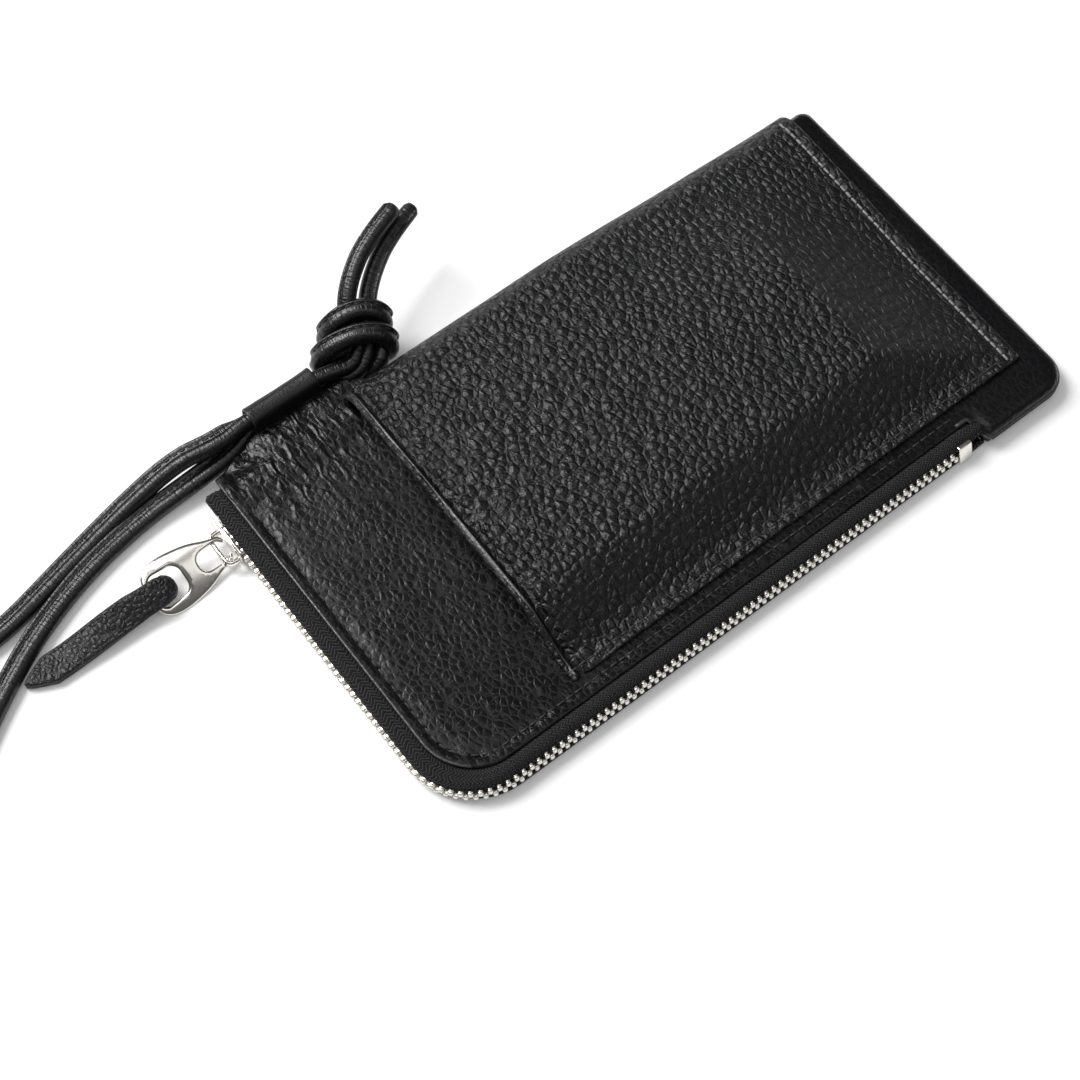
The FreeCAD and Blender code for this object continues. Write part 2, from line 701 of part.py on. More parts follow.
def make_leather_pull():
    """Folded leather strip: a loop round the puller's end bar, then a strip that untwists to the table."""
    roll = size("puller_roll").value
    width = size("pull_width").value
    thick = size("pull_thick").value
    inner = size("pull_bore").value
    outer = inner + size("pull_layer").value
    start = Vector(bar_x.value, slider_y.value, chain_z.value)
    across = Vector(0, math.cos(math.radians(roll)), math.sin(math.radians(roll)))
    foot = start - across * (width / 2)
    ring = Part.makeCylinder(outer, width, foot, across)
    bore = Part.makeCylinder(inner, width, foot, across)

    long = size("pull_long").value
    point = size("pull_point").value
    neck = outer + slack
    rest_z = thick / 2 + 0.2
    neck_block = Part.makeBox(neck, width, thick, Vector(-neck, -width / 2, -thick / 2))
    neck_block.Placement = Placement(start, Rotation(Vector(1, 0, 0), roll))
    sections = [
        (neck, roll, chain_z.value, width),
        (long * 0.35, roll * 0.5, (chain_z.value + rest_z) / 2 + 0.25, width),
        (long * 0.7, 0.0, rest_z, width),
        (long - point, 0.0, rest_z, width),
        (long, 0.0, rest_z, width * 0.2),
    ]
    wires = []
    for reach, turn, height, wide in sections:
        square = [Vector(0, -wide / 2, -thick / 2), Vector(0, wide / 2, -thick / 2),
                  Vector(0, wide / 2, thick / 2), Vector(0, -wide / 2, thick / 2)]
        place_here = Placement(Vector(bar_x.value - reach, slider_y.value, height),
                               Rotation(Vector(1, 0, 0), turn))
        wires.append(Part.makePolygon([place_here.multVec(v) for v in square + square[:1]]))
    strip = Part.makeLoft(wires, True, True)
    loop = ring.fuse(neck_block).cut(bore)
    node(feature("leather_pull", loop.fuse(strip)), "leather_pull")


def stitch_row(start, finish, height):
    """Separate stitches in a straight row."""
    pitch, long, thread = (size(name).value for name in ("stitch_pitch", "stitch_long", "thread"))
    run = finish - start
    count = int(run.Length // pitch)
    heading = math.degrees(math.atan2(run.y, run.x))
    spare = (run.Length - (count - 1) * pitch) / 2
    solids = []
    for i in range(count):
        solid = Part.makeBox(long, thread, thread / 2, Vector(-long / 2, -thread / 2, 0))
        spot = start + run * ((spare + i * pitch) / run.Length)
        solid.Placement = Placement(Vector(spot.x, spot.y, height), Rotation(Vector(0, 0, 1), heading))
        solids.append(solid)
    return solids


def make_stitches():
    inset = size("pocket_flange").value / 2
    margin_top = (base_top + leather).value
    corner_spot = Vector(pocket_end_x.value - inset, pocket_side_y.value + inset, 0)
    seams = stitch_row(Vector(mouth_x.value, corner_spot.y, 0), corner_spot, margin_top)
    seams += stitch_row(corner_spot, Vector(corner_spot.x, fold_axis_y.value, 0), margin_top)
    node(feature("pocket_stitches", Part.makeCompound(seams)), "pocket_stitches")

    flat_y = (pocket_wall_y + size("pocket_side_slope") + size("pocket_round")).value
    mouth_seam_x = (mouth_x + size("hem_width")).value - inset
    mouth_row = stitch_row(Vector(mouth_seam_x, flat_y, 0),
                           Vector(mouth_seam_x, (fold_y - size("pocket_round")).value, 0), pocket_top.value)
    node(feature("mouth_stitches", Part.makeCompound(mouth_row)), "mouth_stitches")

    seam = size("seam_inset").value
    seam_x = opening_x.value + seam
    seam_y = zip_side_y.value + seam
    round_to = leather_corner.value - seam
    zip_rows = stitch_row(Vector(seam_x, fold_axis_y.value - seam, 0),
                          Vector(seam_x, seam_y + round_to, 0), base_top.value)
    middle = Vector(seam_x + round_to, seam_y + round_to, 0)
    bend = [middle + Vector(-math.cos(a), -math.sin(a), 0) * round_to
            for a in (math.pi * k / 8 for k in range(5))]
    for start, finish in zip(bend, bend[1:]):
        zip_rows += stitch_row(start, finish, base_top.value)
    zip_rows += stitch_row(Vector(middle.x, seam_y, 0), Vector(step_x.value - seam, seam_y, 0), base_top.value)
    node(feature("zip_stitches", Part.makeCompound(zip_rows)), "zip_stitches")


def stadium(name, radius, start_x, length):
    """A flat-sided oval bar along the sleeve, round at its top and bottom."""
    parts = [box(f"{name}_middle", (start_x, sleeve_y - radius, sleeve_z - strand_offset),
                 (length, radius * 2, strand_offset * 2))]
    for word, height in (("low", sleeve_z - strand_offset), ("high", sleeve_z + strand_offset)):
        parts.append(rod(f"{name}_{word}", radius, length, (start_x, sleeve_y, height), "X"))
    return fuse(name, parts)


def make_sleeve():
    """Leather sleeve for two stacked strands, the tab that sews it to the fold, and the strands."""
    bore = cord / 2 + size("cord_gap")
    outside = bore + size("sleeve_wall")
    long = size("sleeve_long")
    outer = stadium("sleeve_outer", outside, sleeve_mouth_x, long)
    inner = stadium("sleeve_bore", bore, sleeve_mouth_x - slack, long + slack * 2)
    node(cut("sleeve", outer, inner), "sleeve")

    tab_x = sleeve_mouth_x + size("tab_margin")
    tab = box("tab_block", (tab_x, fold_axis_y, base_top - size("tab_thick")),
              (mouth_x - gap - tab_x, sleeve_y - outside - fold_axis_y, size("tab_thick")))
    seat = rod("tab_seat", fold_radius, mouth_x - sleeve_mouth_x, (sleeve_mouth_x, fold_axis_y, fold_radius), "X")
    node(cut("sleeve_tab", tab, seat), "sleeve_tab")

    strands = doc.addObject("Part::Compound", "sleeve_strands")
    run = long + slack + size("knot_stand") * 0.75
    strands.Links = [
        rod(f"{word}_strand", cord / 2, run, (sleeve_mouth_x - slack, sleeve_y, height), "X")
        for word, height in (("lower", sleeve_z - strand_offset), ("upper", sleeve_z + strand_offset))]
    node(strands, "sleeve_strands")


def make_knot():
    knot = doc.addObject("Part::Ellipsoid", "strap_knot")
    knot.setExpression("Radius1", (size("knot_thick") / 2).text)
    knot.setExpression("Radius2", (size("knot_long") / 2).text)
    knot.setExpression("Radius3", (size("knot_thick") / 2).text)
    place(knot, sleeve_knot_x + size("knot_stand"), sleeve_y + cord, sleeve_z + cord * 0.45)
    node(knot, "strap_knot")


def route_edges(label, points):
    """Straight runs joined by tangent arcs, each as large as its two runs allow."""
    edges = []
    radii = []
    here = points[0]
    for before, at, after in zip(points, points[1:], points[2:]):
        inward = (before - at).normalize()
        outward = (after - at).normalize()
        turn = math.pi - inward.getAngle(outward)
        shorter = min((at - before).Length, (after - at).Length)
        trim = ROUTE_SHARE * shorter
        radii.append(trim / math.tan(turn / 2))
        first = at + inward * trim
        last = at + outward * trim
        bisector = (inward + outward).normalize()
        middle = at + bisector * (radii[-1] * (1 / math.cos(turn / 2) - 1))
        edges.append(Part.LineSegment(here, first).toShape())
        edges.append(Part.Arc(first, middle, last).toShape())
        here = last
    edges.append(Part.LineSegment(here, points[-1]).toShape())
    print(label, "bend radii", [round(radius, 1) for radius in radii])
    return edges


def tube(label, edges, heading):
    """A round cord along these edges, checked against its section times its length."""
    wire = Part.Wire(edges)
    start = edges[0].valueAt(edges[0].FirstParameter)
    circle = Part.Circle(start, heading, cord.value / 2)
    solid = wire.makePipeShell([Part.Wire(circle.toShape())], True, False)
    expected = math.pi * cord.value ** 2 / 4 * wire.Length
    print(label, "length", round(wire.Length, 1), "volume ratio", round(solid.Volume / expected, 4))
    node(feature(label, solid), label)
    return wire


def strap_point(offset):
    return Vector(sleeve_mouth_x.value + offset[0], sleeve_y.value + offset[1], offset[2])


def arc_from(start, heading, finish):
    """The one arc that leaves along a heading and ends at a point."""
    chord = finish - start
    along = Vector(chord).normalize()
    side = heading - along * heading.dot(along)
    bow = math.tan(heading.getAngle(along) / 2) * chord.Length / 2
    return Part.Arc(start, (start + finish) / 2 + side.normalize() * bow, finish).toShape()


def biarc(start, heading, finish, leaving):
    """Two tangent arcs between two points with given headings."""
    chord = finish - start
    both = heading + leaving
    a = 2 * (heading.dot(leaving) - 1)
    b = -2 * chord.dot(both)
    reach = (-b - math.sqrt(b * b - 4 * a * chord.dot(chord))) / (2 * a)
    joint = (start + heading * reach + finish - leaving * reach) / 2
    second = arc_from(finish, -leaving, joint)
    return [arc_from(start, heading, joint), Part.Arc(
        joint, second.valueAt((second.FirstParameter + second.LastParameter) / 2), finish).toShape()]


def coil_edges(start):
    """Half turns that spiral in on the lower layer, climb at the middle and spiral out on the upper one."""
    pitch = size("coil_pitch").value
    count = int(size("coil_half_turns").value)
    radius = size("coil_outer").value
    edges = []
    spot = Vector(start)
    way = -1

    def half_turn(at, turn_radius, direction):
        finish = at + Vector(0, direction * 2 * turn_radius, 0)
        middle = at + Vector(direction * turn_radius, direction * turn_radius, 0)
        edges.append(Part.Arc(at, middle, finish).toShape())
        return finish

    for _ in range(count):
        spot = half_turn(spot, radius, way)
        radius -= pitch / 2
        way = -way
    slope = 1.5 * pitch / (math.pi * radius)
    side = spot + Vector(way * radius, way * radius, pitch / 2)
    finish = spot + Vector(0, way * 2 * radius, pitch)
    climb = Vector(0, way, slope).normalize()
    edges.extend(biarc(spot, Vector(way, 0, 0), side, climb))
    edges.extend(biarc(side, climb, finish, Vector(-way, 0, 0)))
    spot = finish
    way = -way
    for _ in range(count):
        radius += pitch / 2
        spot = half_turn(spot, radius, way)
        way = -way
    return edges, spot


def least_gap(wire):
    """Least gap of the cord to itself, on points along it, away from each point's own neighbours."""
    step = cord.value / 4
    count = int(wire.Length / step)
    points = wire.discretize(Number=count)
    skip = int(3 * cord.value / step)
    least = min((points[i] - points[j]).Length
                for i in range(count) for j in range(i + skip, count))
    return least - cord.value


def make_strap():
    leave = Vector(-1, 0, 0)
    for label, route, side in (("strap_upper_run", UPPER_ROUTE, 1), ("strap_lower_run", LOWER_ROUTE, -1)):
        exit_point = Vector(sleeve_mouth_x.value - slack, sleeve_y.value,
                            sleeve_z.value + side * strand_offset.value)
        straight = exit_point + leave * (ROUTE_LEAD * cord.value)
        points = [exit_point, straight] + [strap_point(offset) for offset in route]
        tube(label, route_edges(label, points), leave)
    for label, route in (("tail_left", TAIL_LEFT), ("tail_right", TAIL_RIGHT)):
        points = [strap_point(offset) for offset in route]
        tube(label, route_edges(label, points), points[1] - points[0])

    start = strap_point(UPPER_ROUTE[-1])
    edges, finish = coil_edges(start)
    wire = tube("strap_coil", edges, leave)
    print("coil ends at", finish, "and the lower run at", strap_point(LOWER_ROUTE[-1]))
    print("coil least gap", round(least_gap(wire), 2))
    make_tie(start)


def make_tie(start):
    """Flat band round the coil's far side."""
    pitch = size("coil_pitch").value
    outer = size("coil_outer").value
    count = int(size("coil_half_turns").value)
    wide = size("tie_wide").value
    wall = size("tie_wall").value
    cord_r = cord.value / 2
    inner_turn = outer - (count - 1) * pitch / 2
    lean = wide / 2 + pitch / 2
    drop = inner_turn - math.sqrt(inner_turn ** 2 - lean ** 2)
    far_x = start.x - outer - cord_r
    near_x = start.x - inner_turn + drop + cord_r
    low_y = start.y - outer - pitch / 2 - wide / 2
    spare = 0.2
    top = start.z + pitch + cord_r
    block = Part.makeBox(near_x - far_x + 2 * (spare + wall), wide, top + spare + wall,
                         Vector(far_x - spare - wall, low_y, 0))
    room = Part.makeBox(near_x - far_x + 2 * spare, wide, top + spare - wall,
                        Vector(far_x - spare, low_y, wall))
    node(feature("coil_tie", block.cut(room)), "coil_tie")


make_panels()
make_fold_edge()
make_pocket()
make_zip()
make_slider()
make_puller()
make_leather_pull()
make_stitches()
make_sleeve()
make_knot()
make_strap()
doc.recompute()

for obj in doc.Objects:
    if "Invalid" in obj.State or "Error" in obj.State:
        raise RuntimeError(f"{obj.Label} failed: {obj.State}")
for label, obj in NODES.items():
    if obj.Shape.isNull() or not obj.Shape.isValid():
        raise RuntimeError(f"{label} has no valid shape")

os.makedirs("parts", exist_ok=True)
for label, obj in NODES.items():
    obj.Shape.exportStep(f"parts/{label}.step")
    print(label, len(obj.Shape.Solids), "solids", round(obj.Shape.Volume, 1), "mm3")
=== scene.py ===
# %% [markdown]
# # A flat leather phone pouch
# The pouch lies on its back with the slip pocket up, the zip along two sides and a sewn leather cord for a
# strap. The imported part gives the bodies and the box. This script repeats its main sizes, in millimetres, and
# makes each piece again with the softness and the finish of the real one.

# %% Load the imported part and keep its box
import math
import bmesh
import bpy
import numpy as np
from mathutils import Matrix, Vector, noise
from mathutils.geometry import delaunay_2d_cdt


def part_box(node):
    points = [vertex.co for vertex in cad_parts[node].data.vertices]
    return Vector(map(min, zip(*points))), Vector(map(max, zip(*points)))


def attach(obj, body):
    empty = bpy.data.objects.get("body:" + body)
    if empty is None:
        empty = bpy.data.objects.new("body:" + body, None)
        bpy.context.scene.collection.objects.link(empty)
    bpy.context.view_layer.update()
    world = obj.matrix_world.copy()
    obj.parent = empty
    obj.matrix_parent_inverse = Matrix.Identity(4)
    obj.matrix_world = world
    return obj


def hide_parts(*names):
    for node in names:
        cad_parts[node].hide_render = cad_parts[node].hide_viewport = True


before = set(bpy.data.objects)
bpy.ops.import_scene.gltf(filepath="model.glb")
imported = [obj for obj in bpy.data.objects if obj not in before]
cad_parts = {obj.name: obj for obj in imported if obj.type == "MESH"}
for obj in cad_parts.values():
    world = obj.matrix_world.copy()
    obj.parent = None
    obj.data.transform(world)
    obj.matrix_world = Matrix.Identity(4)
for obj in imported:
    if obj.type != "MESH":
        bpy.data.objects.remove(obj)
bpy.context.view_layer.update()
scene = bpy.context.scene
scene.view_settings.view_transform = "Standard"
MM = 0.001

# %% [markdown]
# ## Camera
# The photo was taken from above the mouth end with a long lens. A camera fitted to the outline of the pouch
# gives a 70 mm lens on a 36 mm frame, half a metre away, with no roll and no shift.

# %% Camera
VIEW_AZIMUTH = math.radians(-37.6)
VIEW_ELEVATION = math.radians(65.5)
VIEW_DISTANCE = 0.487
VIEW_TARGET = Vector((-0.03355, -0.00434, 0.0))
towards_camera = Vector((
    math.cos(VIEW_ELEVATION) * math.sin(VIEW_AZIMUTH),
    -math.cos(VIEW_ELEVATION) * math.cos(VIEW_AZIMUTH),
    math.sin(VIEW_ELEVATION),
))
camera_data = bpy.data.cameras.new("photo_camera")
camera_data.lens = 70.0
camera_data.sensor_width = 36.0
camera_data.clip_start = 0.01
camera = bpy.data.objects.new("photo_camera", camera_data)
camera.location = VIEW_TARGET + towards_camera * VIEW_DISTANCE
camera.rotation_euler = (-towards_camera).to_track_quat("-Z", "Y").to_euler()
scene.collection.objects.link(camera)
scene.camera = camera
print("camera at", [round(v, 4) for v in camera.location])

# %% [markdown]
# ## Floor
# The pouch lies on a white sweep. A lit backdrop could make it, but a plain plane that gives off a little
# light of its own to the camera stays white in every view and still takes the soft shadow.

# %% Floor
FLOOR_HALF = 3.0
FLOOR_DROP = 0.0002
FLOOR_GLOW = 0.12


def new_material(name):
    """A material with an empty node tree, its node maker and its link maker."""
    material = bpy.data.materials.new(name)
    material.use_nodes = True
    material.node_tree.nodes.clear()
    return material, material.node_tree.nodes, material.node_tree.links.new


def set_inputs(node, values):
    """Give a node's named inputs their values; an underscore in a name stands for a space."""
    for name, amount in values.items():
        node.inputs[name.replace("_", " ")].default_value = amount
    return node


def add_node(nodes, kind, **values):
    return set_inputs(nodes.new("ShaderNode" + kind), values)


def math_node(nodes, operation, second=None, kind="Math"):
    """A math or vector math node, with its second number where that is the same everywhere."""
    node = add_node(nodes, kind)
    node.operation = operation
    if second is not None:
        node.inputs[1].default_value = second
    return node


def wire(link, *wires):
    """Link nodes; each wire says from which node and output to which node and input it goes."""
    for source, output, target, entrance in wires:
        link(source.outputs[output], target.inputs[entrance])


floor_material, nodes, link = new_material("white_floor")
floor_diffuse = add_node(nodes, "BsdfDiffuse", Color=(0.9, 0.9, 0.9, 1))
floor_glow = add_node(nodes, "Emission", Color=(1, 1, 1, 1))
floor_path = add_node(nodes, "LightPath")
floor_seen = math_node(nodes, "MAXIMUM")
floor_share = math_node(nodes, "MULTIPLY", FLOOR_GLOW)
floor_mix = add_node(nodes, "MixShader")
floor_out = add_node(nodes, "OutputMaterial")
wire(link,
     (floor_path, "Is Camera Ray", floor_seen, 0),
     (floor_path, "Is Glossy Ray", floor_seen, 1),
     (floor_seen, 0, floor_share, 0),
     (floor_share, 0, floor_mix, 0),
     (floor_diffuse, 0, floor_mix, 1),
     (floor_glow, 0, floor_mix, 2),
     (floor_mix, 0, floor_out, "Surface"))

floor_mesh = bpy.data.meshes.new("floor")
floor_signs = ((-1, -1), (1, -1), (1, 1), (-1, 1))
floor_corners = [(x * FLOOR_HALF, y * FLOOR_HALF, -FLOOR_DROP) for x, y in floor_signs]
floor_mesh.from_pydata(floor_corners, [], [(0, 1, 2, 3)])
floor_mesh.materials.append(floor_material)
floor = bpy.data.objects.new("floor", floor_mesh)
scene.collection.objects.link(floor)
print("floor", 2 * FLOOR_HALF, "m wide")

# %% [markdown]
# ## Light
# The photo's light is soft and comes from the left. One big square lamp stands there, a weaker one hangs
# overhead, and a faint one on the near right lifts the dark side. The size of such a lamp sets how soft its
# shadow is, so area lamps are the plain way to do this.

# %% Light
ROOM_STRENGTH = 0.13
world = bpy.data.worlds.new("soft_room")
world.use_nodes = True
set_inputs(world.node_tree.nodes["Background"], {"Color": (1, 1, 1, 1), "Strength": ROOM_STRENGTH})
scene.world = world


def soft_lamp(name, azimuth, elevation, distance, width, power):
    """A square lamp that looks at the pouch; azimuth is counted from +X towards +Y."""
    data = bpy.data.lights.new(name, "AREA")
    data.shape = "SQUARE"
    data.size = width
    data.energy = power
    lamp = bpy.data.objects.new(name, data)
    a, e = math.radians(azimuth), math.radians(elevation)
    way = Vector((math.cos(a) * math.cos(e), math.sin(a) * math.cos(e), math.sin(e)))
    lamp.location = way * distance
    lamp.rotation_euler = way.to_track_quat("Z", "Y").to_euler()
    scene.collection.objects.link(lamp)


soft_lamp("key_lamp", 120.0, 50.0, 1.3, 0.66, 23.0)
soft_lamp("top_lamp", 200.0, 78.0, 1.5, 0.9, 5.0)
soft_lamp("near_lamp", -62.0, 56.0, 1.4, 0.7, 1.6)
print("room light and three lamps")

# %% [markdown]
# ## Helpers for lines
# Cords, wires and edge strips are one section carried along a line. A curve with a bevel could do that, but
# here the section may change on its way. So the points of a smooth NURBS route are read and the section is
# swept along them.

# %% Helpers for lines
UP = Vector((0, 0, 1))
UV_NAME = "along_round"


def to_metres(points):
    return [Vector(point) * MM for point in points]


def smooth_step(t):
    t = min(1.0, max(0.0, t))
    return t * t * (3 - 2 * t)


def spline_points(route, resolution):
    """Points of a smooth NURBS line that has these control points, in the units of the route."""
    curve = bpy.data.curves.new("route", "CURVE")
    curve.dimensions = "3D"
    curve.resolution_u = resolution
    spline = curve.splines.new("NURBS")
    spline.points.add(len(route) - 1)
    for point, place in zip(spline.points, route):
        point.co = (*place, 1)
    spline.order_u = 3
    spline.use_endpoint_u = True
    holder = bpy.data.objects.new("route", curve)
    scene.collection.objects.link(holder)
    bpy.context.view_layer.update()
    line = bpy.data.meshes.new_from_object(holder.evaluated_get(bpy.context.evaluated_depsgraph_get()))
    points = [vertex.co.copy() for vertex in line.vertices]
    bpy.data.objects.remove(holder)
    bpy.data.curves.remove(curve)
    bpy.data.meshes.remove(line)
    return points


def distances(points):
    total = [0.0]
    for a, b in zip(points, points[1:]):
        total.append(total[-1] + (b - a).length)
    return total


def moving_frames(points, up=UP):
    """Tangent, left side and top of the line at each point."""
    frames = []
    side = None
    for i in range(len(points)):
        before = points[max(0, i - 1)]
        after = points[min(len(points) - 1, i + 1)]
        tangent = (after - before).normalized()
        left = up.cross(tangent)
        side = left.normalized() if left.length > 1e-3 else side
        frames.append((tangent, side, tangent.cross(side)))
    return frames


def grid_quads(rows, count, closed, corners=(0, 1, 2, 3)):
    """Faces between rows of points, each row open or closed to a ring; corners says where a face starts."""
    quads = []
    for i in range(rows - 1):
        for j in range(count if closed else count - 1):
            a, b = i * count + j, i * count + (j + 1) % count
            quad = (a, b, b + count, a + count)
            quads.append(tuple(quad[corner] for corner in corners))
    return quads


def sweep(points, section_at, frames=None):
    """Vertices, faces and UVs (millimetres along, share round) of a section swept along points."""
    frames = frames or moving_frames(points)
    along = distances(points)
    verts = []
    for point, (_, side, top), at in zip(points, frames, along):
        section = section_at(at)
        verts.extend(point + side * p + top * q for p, q in section)
    count = len(section)
    last = (len(points) - 1) * count
    faces = grid_quads(len(points), count, True)
    faces += [tuple(reversed(range(count))), tuple(range(last, last + count))]
    uvs = []
    for low, high in zip(along, along[1:]):
        for j in range(count):
            uvs.append(((low / MM, j / count), (low / MM, (j + 1) / count),
                        (high / MM, (j + 1) / count), (high / MM, j / count)))
    uvs += [tuple((at / MM, j / count) for j in range(count)) for at in (along[0], along[-1])]
    return verts, faces, uvs


print("line helpers ready")

# %% [markdown]
# ## Helpers for sheets
# Leather has a thickness and a rounded cut edge. A solidify modifier gives flat edges, so the sheet is closed
# here: the outer surface, a copy below it, and a few rings between the two along every open edge.

# %% Helpers for sheets
TINY = 1e-12
OUTER_FIRST, FAR_FIRST = (0, 3, 2, 1), (3, 2, 1, 0)


def surface_normals(verts, faces):
    normals = np.zeros_like(verts)
    for face in faces:
        a, b, c = verts[face[0]], verts[face[1]], verts[face[-1]]
        normal = np.cross(b - a, c - a)
        for index in face:
            normals[index] += normal
    return normals / np.maximum(np.linalg.norm(normals, axis=1), TINY)[:, None]


def thick_sheet(verts, faces, thickness, rim_steps=3):
    """A leather sheet: the given outer surface, an inner one below it and a rounded edge between."""
    verts = np.array([tuple(v) for v in verts], float)
    thick = np.broadcast_to(np.asarray(thickness, float), (len(verts),))
    normals = surface_normals(verts, faces)
    count = len(verts)
    out_verts = [verts, verts - normals * thick[:, None]]
    out_faces = faces + [tuple(index + count for index in reversed(face)) for face in faces]
    used = dict.fromkeys(edge for face in faces for edge in zip(face, face[1:] + face[:1]))
    rim = [edge for edge in used if edge[::-1] not in used]
    outward = {}
    for a, b in rim:
        way = np.cross(verts[b] - verts[a], normals[a] + normals[b])
        for index in (a, b):
            outward[index] = outward.get(index, 0) + way / max(np.linalg.norm(way), TINY)
    edge_points = sorted(outward)
    rings = [{index: index for index in edge_points}]
    for step in range(1, rim_steps + 1):
        angle = math.pi * step / (rim_steps + 1)
        ring = []
        for index in edge_points:
            half = thick[index] / 2
            way = outward[index] / max(np.linalg.norm(outward[index]), TINY)
            sunk = verts[index] - normals[index] * half * (1 - math.cos(angle))
            ring.append(sunk + way * half * math.sin(angle))
        base = 2 * count + (step - 1) * len(edge_points)
        rings.append({index: base + place for place, index in enumerate(edge_points)})
        out_verts.append(np.array(ring))
    rings.append({index: index + count for index in edge_points})
    for a, b in rim:
        for near_ring, far_ring in zip(rings, rings[1:]):
            out_faces.append((near_ring[b], near_ring[a], far_ring[a], far_ring[b]))
    return [Vector(v) for v in np.vstack(out_verts)], out_faces


print("sheet helpers ready")

# %% [markdown]
# ## Helpers for pieces
# Small metal pieces and stitches start as blocks with rounded edges. Each finished shape then becomes a
# piece, which rides on a body of the imported part and hides the CAD nodes it stands for.

# %% Helpers for pieces
STITCH_SINK, STITCH_ROUND, STITCH_ARCH = 0.3, 0.42, 1.2


def mesh_from(name, verts, faces, uvs=None):
    mesh = bpy.data.meshes.new(name)
    mesh.from_pydata([tuple(v) for v in verts], [], faces)
    if uvs:
        layer = mesh.uv_layers.new(name=UV_NAME)
        for corner, uv in zip(layer.data, (uv for face_uvs in uvs for uv in face_uvs)):
            corner.uv = uv
    mesh.validate()
    mesh.update()
    return mesh


def piece(name, shape, body, slot, material, *cad_nodes):
    """Put a shape in the scene as a piece that rides on a body and stands for CAD nodes."""
    mesh = mesh_from(name, *shape)
    mesh.materials.append(material)
    mesh.polygons.foreach_set("use_smooth", [True] * len(mesh.polygons))
    obj = bpy.data.objects.new(name, mesh)
    scene.collection.objects.link(obj)
    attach(obj, body)
    if cad_nodes:
        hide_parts(*cad_nodes)
    print(name, len(mesh.polygons), "faces")
    return obj


def joined(shapes):
    """Several shapes as one; each is its vertices and faces, and its UVs if it has them."""
    verts, faces, uvs = [], [], []
    for shape in shapes:
        start = len(verts)
        verts.extend(shape[0])
        faces.extend(tuple(index + start for index in face) for face in shape[1])
        uvs.extend(shape[2] if len(shape) > 2 else [])
    return (verts, faces, uvs) if uvs else (verts, faces)


def soft_block(long, wide, high, bevel, segments=2):
    """Vertices and faces of a block with rounded edges, centred on the origin."""
    bm = bmesh.new()
    bmesh.ops.create_cube(bm, size=1.0)
    bmesh.ops.scale(bm, vec=(long, wide, high), verts=bm.verts)
    bmesh.ops.bevel(bm, geom=bm.edges[:], offset=bevel, segments=segments, profile=0.5, affect="EDGES")
    bm.verts.index_update()
    verts = [v.co.copy() for v in bm.verts]
    faces = [tuple(v.index for v in f.verts) for f in bm.faces]
    bm.free()
    return verts, faces


def moved(shape, matrix):
    verts, faces = shape
    return [matrix @ v for v in verts], faces


def shifted(shape, *place):
    return moved(shape, Matrix.Translation(place))


def in_metres(shape):
    return to_metres(shape[0]), shape[1]


def basis(origin, x_axis, y_axis, z_axis):
    matrix = Matrix((x_axis, y_axis, z_axis)).transposed().to_4x4()
    matrix.translation = origin
    return matrix


def stitch_piece(name, places, long, thick, material, *cad_nodes, body="pouch"):
    """One arched, rounded stitch at each place, which is its centre, direction and surface normal."""
    long, thick = long * MM, thick * MM
    verts, faces = soft_block(long, thick, thick, thick * STITCH_ROUND)
    arched = [Vector((v.x, v.y, v.z - (v.x / long) ** 2 * thick * STITCH_ARCH)) for v in verts]
    stitches = []
    for centre, way, normal in places:
        way = way.normalized()
        side = normal.cross(way).normalized()
        top = way.cross(side)
        place = basis(centre + top * thick * (0.5 - STITCH_SINK), way, side, top)
        stitches.append(moved((arched, faces), place))
    return piece(name, joined(stitches), body, "thread", material, *cad_nodes)


print("piece helpers ready")

# %% [markdown]
# ## Finishes
# The pouch is pebbled black leather: rounded cells one to two millimetres wide with thin creases between
# them. Voronoi cells with a wavy input give that grain. It is a node group, because the panels, the pull and
# the cord all use it with other values.

# %% Grain group
def new_group(name, inputs, outputs):
    """A shader node group with number inputs, given with their defaults, and number outputs."""
    group = bpy.data.node_groups.new(name, "ShaderNodeTree")
    for label, default in inputs.items():
        socket = group.interface.new_socket(label, in_out="INPUT", socket_type="NodeSocketFloat")
        socket.default_value = default
    for label in outputs:
        group.interface.new_socket(label, in_out="OUTPUT", socket_type="NodeSocketFloat")
    entry = group.nodes.new("NodeGroupInput")
    leave = group.nodes.new("NodeGroupOutput")
    return group, group.nodes, group.links.new, entry, leave


def map_range(nodes, low, high, to_low=0.0, to_high=1.0, smooth=False):
    node = add_node(nodes, "MapRange", From_Min=low, From_Max=high, To_Min=to_low, To_Max=to_high)
    node.interpolation_type = "SMOOTHSTEP" if smooth else "LINEAR"
    return node


grain_group, nodes, link, entry, leave = new_group(
    "pebble_grain", {"Cells per metre": 620.0, "Waviness": 0.35}, ["Height", "Crease", "Patch"])
place = add_node(nodes, "TexCoord")
lay = add_node(nodes, "Mapping", Rotation=(0.0, 0.0, math.radians(-9.0)), Scale=(1.0, 0.85, 1.0))
grow = math_node(nodes, "SCALE", kind="VectorMath")
wave = add_node(nodes, "TexNoise", Scale=0.9, Detail=2.0)
centre = math_node(nodes, "SUBTRACT", (0.5, 0.5, 0.5), "VectorMath")
push = math_node(nodes, "SCALE", kind="VectorMath")
bend = math_node(nodes, "ADD", kind="VectorMath")
cells = add_node(nodes, "TexVoronoi", Scale=1.0, Randomness=0.8)
cells.feature = "DISTANCE_TO_EDGE"
pebble = add_node(nodes, "TexVoronoi", Scale=1.0, Randomness=0.8)
small = add_node(nodes, "TexVoronoi", Scale=2.7)
slant = add_node(nodes, "Mapping", Rotation=(0.0, 0.0, math.radians(-25.0)))
thin = add_node(nodes, "Mapping", Scale=(7.5, 2.3, 7.5))
